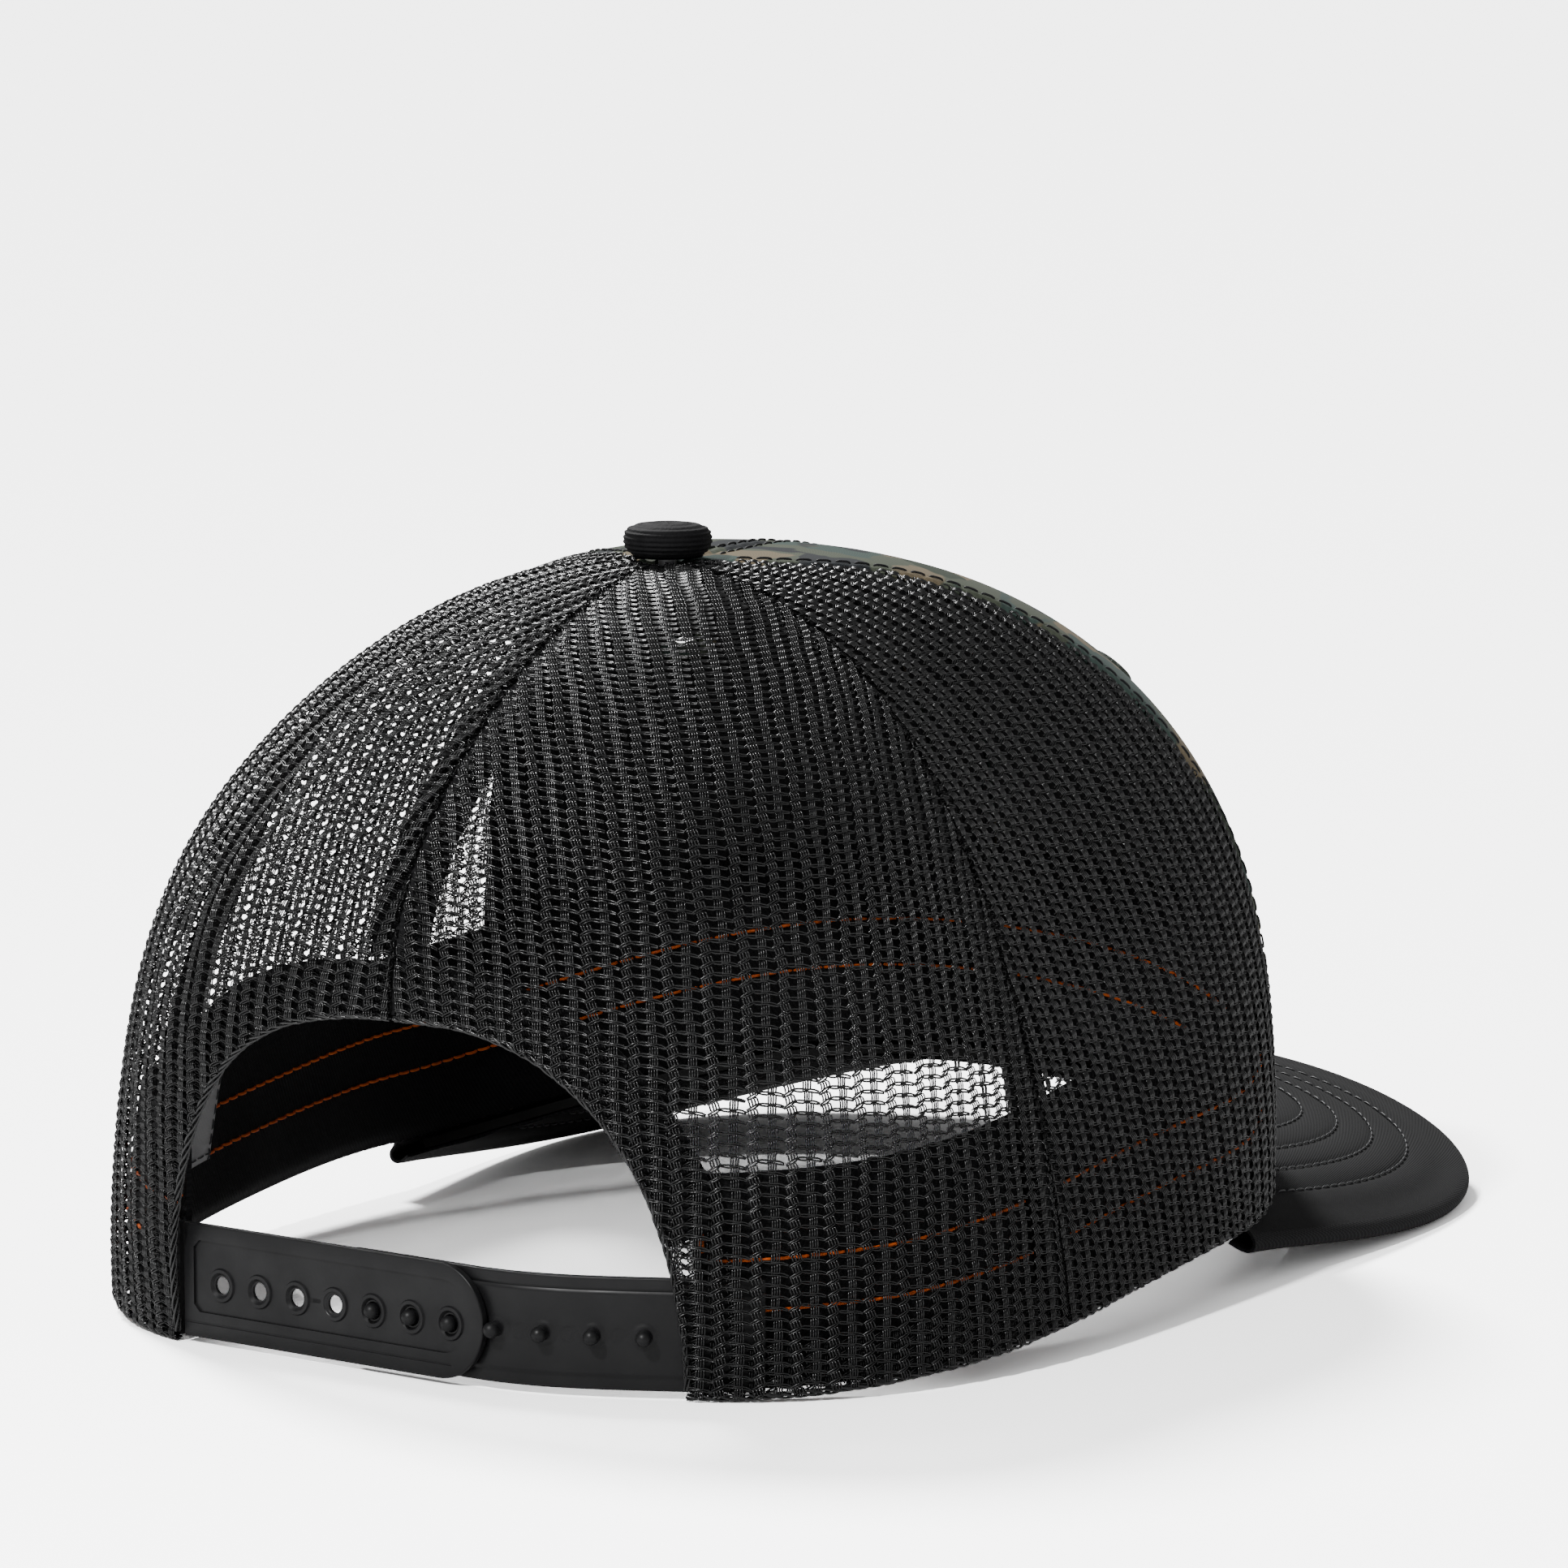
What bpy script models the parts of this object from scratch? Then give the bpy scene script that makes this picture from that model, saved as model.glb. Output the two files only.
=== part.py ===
"""Trucker mesh cap with a curved brim and a two-part snap strap at the back.

Metres, +Z up, the cap stands on z = 0. The brim points to -Y, the snap strap to
+Y, the wearer's left is +X. Every physical piece is one named object.
"""
import math

import bmesh
import bpy
from mathutils import Vector

MM = 0.001

# ---- placing: the crown's own centre sits behind the middle of the whole cap
CROWN_Y = 0.04061

# ---- crown outline at the base (half sizes) and its roundness
HALF_WIDTH = 0.0849
HALF_FRONT = 0.0995
HALF_BACK = 0.0956
ROUND_FRONT = 3.03
ROUND_BACK = 2.79
BACK_PULL = 0.131          # how far the strap pulls the back in, as a share
BACK_PULL_WIDE = 0.75      # radians
BACK_PULL_LOW = 0.10       # share of the way up where the pull starts to fade
BACK_PULL_HIGH = 0.50

# ---- crown side shape: front, side, back
CROWN_TOP = 0.1208
TOP_BACK = 0.0043
DRAW_IN = (0.894, 0.827, 1.082)
CLIMB = (0.722, 0.924, 0.965)
BULGE = (0.189, -0.086, 0.145)
FRONT_LEAN = 0.059         # the very front leans back by this share
FRONT_BUMP = 0.0031
FRONT_BUMP_AT = 0.72
FRONT_BUMP_WIDE = 0.22

# ---- brim
BRIM_BEND = 0.1687          # radius of the sideways bend at the sewn edge
BRIM_FLARE = 0.483          # the bend opens out this fast towards the tip
BRIM_BEND_MIN = 0.1024
BRIM_BEND_EASE = 0.007     # softens the change to the smallest bend
BRIM_SLOPE = 0.128          # the tip hangs lower than the sewn edge
BRIM_ROOT_Z = 0.02417      # middle of the board at the centre of the front
BRIM_LENGTH = 0.0709
BRIM_CORNER = math.radians(62.3)
BRIM_SIDE_SWELL = 0.0106
BRIM_SQUARE = 0.732
BOARD_HALF = 0.0008
CLOTH_IN = 0.0011
CLOTH_OUT = 0.0016
BRIM_TUCK = 0.0024         # the brim reaches this far in under the front panels
BRIM_HEM = 0.0012

# ---- layers across the crown wall, measured outwards from its middle
MESH_HALF = 0.0005
FRONT_HALF = 0.0004
LINING_OUT = -0.0010
LINING_IN = -0.0017
BAND_OUT = -0.0020
BAND_IN = -0.0030
BAND_DIP = 0.0024          # the band lies further in where it covers the strap ends
LABEL_OUT = -0.0034
LABEL_IN = -0.0039
PANEL_STAND = 0.0020       # panels start this far above the middle of the brim
SIDE_LIFT = 0.0032          # how the lower edge rises between brim and strap
FOOT_LIFT = 0.0004
SEAM_GAP = 0.0002
TOP_HOLE = 0.0040
TAPE_HALF = 0.0050
TAPE_TOP = 0.0120

# ---- seams, as angles round from the front
FRONT_SEAM = {1: 0.840, -1: 0.755}   # the wearer's left, then right
FRONT_SEAM_TOP = {1: 1.150, -1: 1.047}
BACK_SEAM = {1: 1.155, -1: 1.304}   # from the back: the wearer's left, then right
BACK_SEAM_TOP = 1.047

# ---- arch over the strap
ARCH_HALF = 0.532
ARCH_HIGH = 0.0572
ARCH_SIDE = 0.736
ARCH_CROWN = 0.908
ARCH_TAPE = 0.0090
ARCH_TAPE_LOW = 0.0235

# ---- sweatband and label
BAND_LOW = 0.0015
BAND_HIGH = 0.0350
LABEL_LOW = 0.0125
LABEL_HIGH = 0.0300
LABEL_FROM = math.pi - 1.130
LABEL_TO = math.pi - 1.310

# ---- snap strap
STRAP_THICK = 0.0014
STRAP_LOW = 0.0010
STRAP_HIGH = 0.0195
STRAP_MID_Z = (STRAP_LOW + STRAP_HIGH) / 2
STRAP_LIFT = -0.0026       # middle of the sewn end, inside the crown wall
STRAP_BETA = math.radians(9.0)
STRAP_LONG = 0.0628
STRAP_STACK = 0.0017       # distance between the two strap middles
TAB_LONG = 0.0120
HOLE_FIRST = 0.0078
HOLE_PITCH = 0.0080
HOLE_COUNT = 7
HOLE_R = 0.0016
SINK_R = 0.0022
SINK_DEEP = 0.0004
PEG_R = 0.00115
PEG_BALL_R = 0.00125
PEG_HIGH = 0.0030
STRAP_TIP_OVER = 0.0050
HINGE_GAP = 0.0004

# ---- button and eyelets
BUTTON_R = 0.00725
BUTTON_LOW = 0.0009
BUTTON_HIGH = 0.0056
BACKING_R = 0.0070
BACKING_THICK = 0.0008
SHANK_R = 0.0015
EYELET_ANGLE = 0.50
EYELET_UP = 0.49
EYELET_HOLE_R = 0.0022
EYELET_OUT_R = 0.0042
EYELET_RISE = 0.0008


# ------------------------------------------------------------------ shapes
def outline(theta):
    """Distance from the crown's centre to its base outline at this angle."""
    front = math.cos(theta) > 0
    power = ROUND_FRONT if front else ROUND_BACK
    depth = HALF_FRONT if front else HALF_BACK
    across = abs(math.sin(theta)) / HALF_WIDTH
    along = abs(math.cos(theta)) / depth
    return (across ** power + along ** power) ** (-1.0 / power)


def smooth(x, low, high):
    t = min(1.0, max(0.0, (x - low) / (high - low)))
    return t * t * (3 - 2 * t)


def brim_bend(y):
    """Radius of the brim's sideways bend; y is from the crown's centre."""
    half = (BRIM_BEND - BRIM_FLARE * (y + HALF_FRONT) - BRIM_BEND_MIN) / 2
    return BRIM_BEND_MIN + half + math.sqrt(half ** 2 + BRIM_BEND_EASE ** 2)


def brim_middle(x, y):
    """Height of the middle of the brim board; y is from the crown's centre."""
    return BRIM_ROOT_Z - x * x / (2 * brim_bend(y)) + BRIM_SLOPE * (y + HALF_FRONT)


def base_height(theta):
    """Height of the crown's lower edge at this angle."""
    turn = abs(math.atan2(math.sin(theta), math.cos(theta)))

    def on_brim(a):
        r = outline(a)
        x, y = r * math.sin(a), -r * math.cos(a)
        tilt = abs(x) / brim_bend(y)
        stand = PANEL_STAND * math.sqrt(1 + tilt ** 2) + MESH_HALF * tilt
        return brim_middle(x, y) + stand

    if turn < BRIM_CORNER:
        return on_brim(turn)
    step = 0.02
    start = on_brim(BRIM_CORNER)
    slope = (on_brim(BRIM_CORNER) - on_brim(BRIM_CORNER - step)) / step
    slope = min(0.0, slope)
    span = math.pi - ARCH_HALF - BRIM_CORNER
    w = min(1.0, (turn - BRIM_CORNER) / span)
    rise = start * (2 * w ** 3 - 3 * w ** 2 + 1)
    run = 0.6 * slope * span * (w ** 3 - 2 * w ** 2 + w)
    return rise + run + SIDE_LIFT * w * (1 - w) + FOOT_LIFT * w


def crown_middle(theta, u):
    """Point on the middle of the crown wall; u runs from the edge to the top."""
    c = math.cos(theta)
    front = max(0.0, c) ** 2
    back = max(0.0, -c) ** 2
    side = 1 - front - back
    shares = (front, side, back)
    draw = sum(s * v for s, v in zip(shares, DRAW_IN))
    climb = sum(s * v for s, v in zip(shares, CLIMB))
    bulge = sum(s * v for s, v in zip(shares, BULGE)) - FRONT_LEAN * front ** 3
    turn = math.atan2(math.sin(theta - math.pi), math.cos(theta - math.pi))
    pull = BACK_PULL * math.exp(-(turn / BACK_PULL_WIDE) ** 2)
    pull *= 1 - smooth(u, BACK_PULL_LOW, BACK_PULL_HIGH)
    r = outline(theta) * (1 - pull)
    a = u * math.pi / 2
    r *= math.cos(a) ** draw * (1 + bulge * math.sin(2 * a))
    up = math.sin(a) ** climb
    low = base_height(theta)
    z = low + (CROWN_TOP - low) * up
    bump = math.exp(-((u - FRONT_BUMP_AT) / FRONT_BUMP_WIDE) ** 2)
    z += FRONT_BUMP * bump * max(0.0, c) * (1 - smooth(u, 0.80, 0.99))
    return Vector((r * math.sin(theta), CROWN_Y - r * c + TOP_BACK * up, z))


def crown_out(theta, u):
    """Outward direction of the crown wall."""
    d = 0.004
    lo = max(u - d, 0.002)
    hi = min(u + d, 0.995)
    along = crown_middle(theta + d, u) - crown_middle(theta - d, u)
    up = crown_middle(theta, hi) - crown_middle(theta, lo)
    n = along.cross(up)
    return n.normalized()


def crown_at(theta, u, offset):
    return crown_middle(theta, u) + crown_out(theta, u) * offset


def height_up(theta, rise):
    """Share of the way up at which the wall is this far above its lower edge."""
    goal = base_height(theta) + rise
    lo, hi = 0.0, 0.97
    for _ in range(40):
        mid = (lo + hi) / 2
        if crown_middle(theta, mid).z < goal:
            lo = mid
        else:
            hi = mid
    return (lo + hi) / 2


def radius_up(theta, radius):
    """Share of the way up at which the wall is this close to the middle."""
    lo, hi = 0.5, 0.9999
    for _ in range(40):
        mid = (lo + hi) / 2
        p = crown_middle(theta, mid)
        if math.hypot(p.x, p.y - CROWN_Y - TOP_BACK) > radius:
            lo = mid
        else:
            hi = mid
    return (lo + hi) / 2


def front_seam(sign):
    """Angle of a front-to-side seam, measured round from the front."""
    base, top = FRONT_SEAM[sign], FRONT_SEAM_TOP[sign]
    return lambda u: base + (top - base) * u ** 4


def back_seam(sign):
    """Angle of a side-to-back seam, measured round from the front."""
    base = BACK_SEAM[sign]
    return lambda u: math.pi - base - (BACK_SEAM_TOP - base) * u ** 4


def arch_theta(t):
    """Angle from the back of the arch edge; t runs 0 at a foot to pi at the other."""
    c = math.cos(t)
    return math.copysign(ARCH_HALF * abs(c) ** ARCH_SIDE, c)


def arch_rise(turn, grow=0.0):
    """Height of the arch edge above the crown's lower edge at this turn."""
    half = ARCH_HALF + grow / 0.085
    share = min(1.0, abs(turn) / half)
    c = share ** (1.0 / ARCH_SIDE)
    return (ARCH_HIGH + grow) * math.sqrt(max(0.0, 1 - c * c)) ** ARCH_CROWN


# ------------------------------------------------------------------ building
def clear_scene():
    for thing in list(bpy.data.objects):
        bpy.data.objects.remove(thing, do_unlink=True)


def collection(name):
    made = bpy.data.collections.new(name)
    bpy.context.scene.collection.children.link(made)
    return made


def paint(name, colour, roughness, metallic=0.0):
    mat = bpy.data.materials.new(name)
    mat.use_nodes = True
    shader = mat.node_tree.nodes["Principled BSDF"]
    shader.inputs["Base Color"].default_value = (*colour, 1.0)
    shader.inputs["Roughness"].default_value = roughness
    shader.inputs["Metallic"].default_value = metallic
    return mat


def add_object(name, bm, mat, home, soft=True):
    bmesh.ops.recalc_face_normals(bm, faces=bm.faces)
    mesh = bpy.data.meshes.new(name)
    bm.to_mesh(mesh)
    bm.free()
    if soft:
        mesh.shade_smooth()
        mesh.set_sharp_from_angle(angle=math.radians(40))
    mesh.materials.append(mat)
    obj = bpy.data.objects.new(name, mesh)
    home.objects.link(obj)
    return obj


def slab(outer, inner):
    """A closed solid between two grids of points of the same size."""
    bm = bmesh.new()
    rows = len(outer)
    cols = len(outer[0])
    top = [[bm.verts.new(p) for p in row] for row in outer]
    low = [[bm.verts.new(p) for p in row] for row in inner]
    for i in range(rows - 1):
        for j in range(cols - 1):
            a, b = top[i][j], top[i][j + 1]
            c, d = top[i + 1][j + 1], top[i + 1][j]
            bm.faces.new((a, b, c, d))
            a, b = low[i][j], low[i][j + 1]
            c, d = low[i + 1][j + 1], low[i + 1][j]
            bm.faces.new((d, c, b, a))
    for j in range(cols - 1):
        bm.faces.new((top[0][j + 1], top[0][j], low[0][j], low[0][j + 1]))
        k = rows - 1
        bm.faces.new((top[k][j], top[k][j + 1], low[k][j + 1], low[k][j]))
    for i in range(rows - 1):
        bm.faces.new((top[i][0], top[i + 1][0], low[i + 1][0], low[i][0]))
        k = cols - 1
        bm.faces.new((top[i + 1][k], top[i][k], low[i][k], low[i + 1][k]))
    return bm


def crown_slab(grid, outward, inward):
    """A piece of crown wall over a grid of (angle, share up) pairs."""
    outer = [[crown_at(t, u, outward) for t, u in row] for row in grid]
    inner = [[crown_at(t, u, inward) for t, u in row] for row in grid]
    return slab(outer, inner)


def side_of(sign, theta):
    """Mirror an angle to the wearer's left (+1) or right (-1)."""
    return theta * sign


def between(a, b, s):
    return a + (b - a) * s


# ------------------------------------------------------------------ panels
def gore_grid(left, right, low, cols, rows, sign):
    """Columns across a panel, each running from its lower edge to the top."""
    grid = []
    for s in cols:
        u0 = low(s)
        mid = between(left(0.9), right(0.9), s)
        u1 = radius_up(side_of(sign, mid), TOP_HOLE)
        line = []
        for k in range(rows + 1):
            w = k / rows
            u = between(u0, u1, 1 - (1 - w) ** 1.15)
            p = crown_middle(side_of(sign, between(left(u), right(u), s)), u)
            r = max(math.hypot(p.x, p.y - CROWN_Y), TOP_HOLE)
            gap = SEAM_GAP / r
            theta = between(left(u) + gap, right(u) - gap, s)
            line.append((side_of(sign, theta), u))
        grid.append(line)
    return grid


def front_panel(sign, name, mat, home):
    cols = [k / 12 for k in range(13)]
    grid = gore_grid(lambda u: 0.0, front_seam(sign), lambda s: 0.0, cols, 14, sign)
    bm = crown_slab(grid, FRONT_HALF, -FRONT_HALF)
    return add_object(name, bm, mat, home)


def side_panel(sign, name, mat, home):
    cols = [k / 10 for k in range(11)]
    grid = gore_grid(front_seam(sign), back_seam(sign), lambda s: 0.0, cols, 14, sign)
    bm = crown_slab(grid, MESH_HALF, -MESH_HALF)
    return add_object(name, bm, mat, home)


def back_low(seam, s):
    """Lower edge of a back panel: the crown's edge, then up over the arch."""
    lo, hi = 0.0, 0.8
    if between(seam(0.0), math.pi, s) <= math.pi - ARCH_HALF + 1e-6:
        return 0.0
    for _ in range(40):
        mid = (lo + hi) / 2
        theta = between(seam(mid), math.pi, s)
        here = crown_middle(theta, mid).z - base_height(theta)
        if here < arch_rise(math.pi - theta):
            lo = mid
        else:
            hi = mid
    return (lo + hi) / 2


def back_panel(sign, name, mat, home):
    seam = back_seam(sign)
    low = seam(0.0)
    foot = (math.pi - ARCH_HALF - low) / (math.pi - low)
    cols = [foot * k / 9 for k in range(10)]
    for k in range(1, 13):
        t = math.pi / 2 * k / 12
        theta = math.pi - arch_theta(t)
        cols.append((theta - low) / (math.pi - low))
    cols[-1] = 1.0
    grid = gore_grid(seam, lambda u: math.pi, lambda s: back_low(seam, s), cols, 13, sign)
    bm = crown_slab(grid, MESH_HALF, -MESH_HALF)
    return add_object(name, bm, mat, home)


def buckram(sign, name, mat, home):
    """Stiffener behind a front panel, trimmed clear of the seams."""
    clear = TAPE_HALF + 0.0005
    grid = []
    for i in range(9):
        s = i / 8
        line = []
        for k in range(11):
            u = between(0.02, 0.80, k / 10)
            r = outline(0.3) * math.cos(u * math.pi / 2) ** 0.9
            lo = clear / r
            hi = front_seam(sign)(u) - clear / r
            line.append((side_of(sign, between(lo, hi, s)), u))
        grid.append(line)
    bm = crown_slab(grid, LINING_OUT, LINING_IN)
    eye = side_of(sign, EYELET_ANGLE)
    obj = add_object(name, bm, mat, home)
    cut_round(obj, crown_middle(eye, EYELET_UP), crown_out(eye, EYELET_UP), 0.0052)
    return obj


def cut_round(obj, where, axis, radius):
    """Cut a straight round hole through a piece."""
    cutter = rod("cut_" + obj.name, where, axis, radius, 0.008, 20)
    mod = obj.modifiers.new("round hole", "BOOLEAN")
    mod.object = cutter
    mod.operation = "DIFFERENCE"
    mod.solver = "EXACT"


def rod(name, where, axis, radius, length, sides):
    """A guide cylinder, kept out of the finished part."""
    bm = bmesh.new()
    bmesh.ops.create_cone(bm, cap_ends=True, segments=sides, radius1=radius,
                          radius2=radius, depth=length)
    mesh = bpy.data.meshes.new(name)
    bm.to_mesh(mesh)
    bm.free()
    obj = bpy.data.objects.new(name, mesh)
    obj.rotation_mode = "QUATERNION"
    obj.rotation_quaternion = Vector(axis).to_track_quat("Z", "Y")
    obj.location = where
    obj.display_type = "WIRE"
    obj.hide_render = True
    bpy.data.collections["guides"].objects.link(obj)
    return obj


def tape(name, centre, low, high, half, mat, home):
    """A sewn strip inside the crown that covers one seam."""
    steps = 14
    grid = []
    for side in (-1, 0, 1):
        line = []
        for k in range(steps + 1):
            u = between(low, high, k / steps)
            theta = centre(u)
            p = crown_middle(theta, u)
            r = math.hypot(p.x, p.y - CROWN_Y - TOP_BACK)
            line.append((theta + side * half / r, u))
        grid.append(line)
    bm = crown_slab(grid, LINING_OUT, LINING_IN)
    return add_object(name, bm, mat, home)


def arch_tape(name, mat, home):
    """The facing sewn along the inside of the back opening."""
    start = 0.0
    while arch_rise(arch_theta(start)) < ARCH_TAPE_LOW:
        start += 0.01
    steps = 30
    edge = []
    far = []
    for k in range(steps + 1):
        t = between(start, math.pi - start, k / steps)
        for line, grow in ((edge, 0.0006), (far, ARCH_TAPE)):
            half = ARCH_HALF + grow / 0.085
            c = math.cos(t)
            turn = math.copysign(half * abs(c) ** ARCH_SIDE, c)
            theta = math.pi + turn
            rise = (ARCH_HIGH + grow) * math.sin(t) ** ARCH_CROWN
            line.append((theta, height_up(theta, rise)))
    bm = crown_slab([edge, far], LINING_OUT, LINING_IN)
    return add_object(name, bm, mat, home)


def band_grid(theta_from, theta_to, cols, low, high, rows):
    grid = []
    for k in range(cols + 1):
        theta = between(theta_from, theta_to, k / cols)
        line = []
        for j in range(rows + 1):
            rise = between(low, high, j / rows)
            line.append((theta, height_up(theta, rise)))
        grid.append(line)
    return grid


def sweatband(name, mat, home):
    end = math.pi - ARCH_HALF - 0.012
    grid = band_grid(-end, end, 72, BAND_LOW, BAND_HIGH, 3)
    dips = [BAND_DIP * smooth(abs(row[0][0]), math.pi - 0.95, math.pi - 0.76) for row in grid]
    outer = [[crown_at(t, u, BAND_OUT - dip) for t, u in row] for row, dip in zip(grid, dips)]
    inner = [[crown_at(t, u, BAND_IN - dip) for t, u in row] for row, dip in zip(grid, dips)]
    return add_object(name, slab(outer, inner), mat, home)


def size_label(name, mat, home):
    grid = band_grid(LABEL_FROM, LABEL_TO, 5, LABEL_LOW, LABEL_HIGH, 3)
    return add_object(name, crown_slab(grid, LABEL_OUT, LABEL_IN), mat, home)


# ------------------------------------------------------------------ brim
def brim_grid(reach, cols, rows):
    """Plan positions of the brim from its sewn edge to its outer edge."""
    corner = outline(BRIM_CORNER) * math.sin(BRIM_CORNER)
    corner_q = outline(BRIM_CORNER) * math.cos(BRIM_CORNER)
    grid = []
    for k in range(cols + 1):
        s = between(-1, 1, k / cols)
        theta = s * BRIM_CORNER
        r = outline(theta) - BRIM_TUCK
        p_in = r * math.sin(theta)
        q_in = r * math.cos(theta)
        t = s * math.pi / 2
        swell = BRIM_SIDE_SWELL * abs(math.sin(2 * t))
        wide = corner * abs(math.sin(t)) ** BRIM_SQUARE + swell + reach
        p_out = math.copysign(wide, t) if abs(t) > 1e-9 else 0.0
        long = HALF_FRONT + BRIM_LENGTH - corner_q
        q_out = corner_q + long * abs(math.cos(t)) ** BRIM_SQUARE
        q_out += reach * math.cos(t)
        line = []
        for j in range(rows + 1):
            w = j / rows
            p = between(p_in, p_out, w)
            q = between(q_in, q_out, w)
            line.append((p, -q))
        grid.append(line)
    return grid


def brim_point(x, y, offset):
    d = 0.0005
    slope_x = (brim_middle(x + d, y) - brim_middle(x - d, y)) / (2 * d)
    slope_y = (brim_middle(x, y + d) - brim_middle(x, y - d)) / (2 * d)
    up = Vector((-slope_x, -slope_y, 1.0)).normalized()
    return Vector((x, CROWN_Y + y, brim_middle(x, y))) + up * offset


def brim_layer(name, low, high, reach, mat, home):
    grid = brim_grid(reach, 28, 6)
    outer = [[brim_point(x, y, high) for x, y in row] for row in grid]
    inner = [[brim_point(x, y, low) for x, y in row] for row in grid]
    return add_object(name, slab(outer, inner), mat, home)


# ------------------------------------------------------------------ strap
def tab_path(sign):
    """Plan points of a strap's sewn end, from the hem inwards under the mesh."""
    path = []
    theta = sign * (math.pi - ARCH_HALF)
    r = outline(theta) * 0.9
    for k in range(7):
        a = theta - sign * (TAB_LONG * k / 6 + 0.0004) / r
        p = crown_at(a, 0.05, STRAP_LIFT)
        path.append(Vector((p.x, p.y, 0)))
    return path


def ribbon(path, low, high, thick, round_end=False):
    """A strip standing on edge along a plan path."""
    bm = bmesh.new()
    count = len(path)
    lines = []
    for k, p in enumerate(path):
        a = path[max(k - 1, 0)]
        b = path[min(k + 1, count - 1)]
        run = (b - a).normalized()
        side = Vector((-run.y, run.x, 0)) * (thick / 2)
        lo, hi = low, high
        if round_end:
            left = (path[-1] - p).length
            half = (high - low) / 2
            if left < half:
                reach = math.sqrt(max(0.0, half ** 2 - (half - left) ** 2))
                reach = max(reach, 0.0004)
                lo = (low + high) / 2 - reach
                hi = (low + high) / 2 + reach
        ring = []
        for sgn, z in ((1, lo), (1, hi), (-1, hi), (-1, lo)):
            ring.append(bm.verts.new((p.x + sgn * side.x, p.y + sgn * side.y, z)))
        lines.append(ring)
    for k in range(count - 1):
        for j in range(4):
            i = (j + 1) % 4
            bm.faces.new((lines[k][j], lines[k][i], lines[k + 1][i], lines[k + 1][j]))
    bm.faces.new(lines[0][::-1])
    bm.faces.new(lines[-1])
    return bm


def left_run():
    """Start point and direction of the straight outer strap."""
    start = tab_path(1)[0]
    run = Vector((-math.cos(STRAP_BETA), math.sin(STRAP_BETA), 0))
    return start + run * (0.0004 + HINGE_GAP), run


def end_steps(length, cap, count):
    """Distances along a strap, closer together over its round end."""
    flat = length - cap
    steps = [0.0, flat]
    for k in range(1, count + 1):
        steps.append(flat + cap * math.sin(math.pi / 2 * k / count))
    return steps


def outer_strap(name, mat, home):
    start, run = left_run()
    cap = (STRAP_HIGH - STRAP_LOW) / 2
    path = [start + run * d for d in end_steps(STRAP_LONG, cap, 8)]
    bm = ribbon(path, STRAP_LOW, STRAP_HIGH, STRAP_THICK, True)
    obj = add_object(name, bm, mat, home, soft=False)
    out = Vector((math.sin(STRAP_BETA), math.cos(STRAP_BETA), 0))
    for k in range(HOLE_COUNT):
        at = start + run * (HOLE_FIRST + HOLE_PITCH * k)
        at = at + Vector((0, 0, STRAP_MID_Z - 0.0003))
        cutter = rod("cut_hole_%d" % (k + 1), at, out, HOLE_R, 0.006, 20)
        sink = rod("cut_sink_%d" % (k + 1), at + out * (STRAP_THICK / 2 + 0.001 - SINK_DEEP),
                   out, SINK_R, 0.002, 20)
        for tool in (cutter, sink):
            mod = obj.modifiers.new("snap hole", "BOOLEAN")
            mod.object = tool
            mod.operation = "DIFFERENCE"
            mod.solver = "EXACT"
    return obj


def inner_path():
    """Plan path of the peg strap: its flat free end, then round to its hem."""
    start, run = left_run()
    out = Vector((math.sin(STRAP_BETA), math.cos(STRAP_BETA), 0))
    last = HOLE_FIRST + HOLE_PITCH * (HOLE_COUNT - 1)
    free = start + run * (last - 2 * HOLE_PITCH - STRAP_TIP_OVER) - out * STRAP_STACK
    bend = start + run * (last + 0.0030) - out * STRAP_STACK
    tab = tab_path(-1)
    foot = tab[0]
    into = (tab[1] - tab[0]).normalized()
    reach = (foot - bend).length * 0.36
    path = [free]
    for k in range(6):
        path.append(between(free, bend, (k + 1) / 6))
    for k in range(1, 13):
        t = k / 12
        a = bend
        b = bend + run * reach
        c = foot - into * reach
        p = (a * (1 - t) ** 3 + b * (3 * t * (1 - t) ** 2)
             + c * (3 * t * t * (1 - t)) + foot * t ** 3)
        path.append(p)
    return path + tab[1:]


def along(path, distance):
    """Point and direction at a distance along a plan path."""
    left = distance
    for a, b in zip(path, path[1:]):
        step = (b - a).length
        if left <= step:
            run = (b - a).normalized()
            return a + run * left, run
        left -= step
    return path[-1], (path[-1] - path[-2]).normalized()


def peg(bm, at, out):
    """A round peg with a ball end, joined to the strap it stands on."""
    rings = [(-0.0004, PEG_R), (PEG_HIGH - 2 * PEG_BALL_R, PEG_R)]
    centre = PEG_HIGH - PEG_BALL_R
    for deg in (-35, 0, 30, 60):
        a = math.radians(deg)
        rings.append((centre + PEG_BALL_R * math.sin(a), PEG_BALL_R * math.cos(a)))
    up = Vector((0, 0, 1))
    side = out.cross(up)
    sides = 12
    loops = []
    for d, r in rings:
        loop = []
        for k in range(sides):
            a = 2 * math.pi * k / sides
            p = at + out * d + side * (r * math.cos(a)) + up * (r * math.sin(a))
            loop.append(bm.verts.new(p))
        loops.append(loop)
    tip = bm.verts.new(at + out * PEG_HIGH)
    for a, b in zip(loops, loops[1:]):
        for k in range(sides):
            j = (k + 1) % sides
            bm.faces.new((a[k], a[j], b[j], b[k]))
    for k in range(sides):
        bm.faces.new((loops[-1][k], loops[-1][(k + 1) % sides], tip))
    bm.faces.new(loops[0][::-1])


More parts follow.
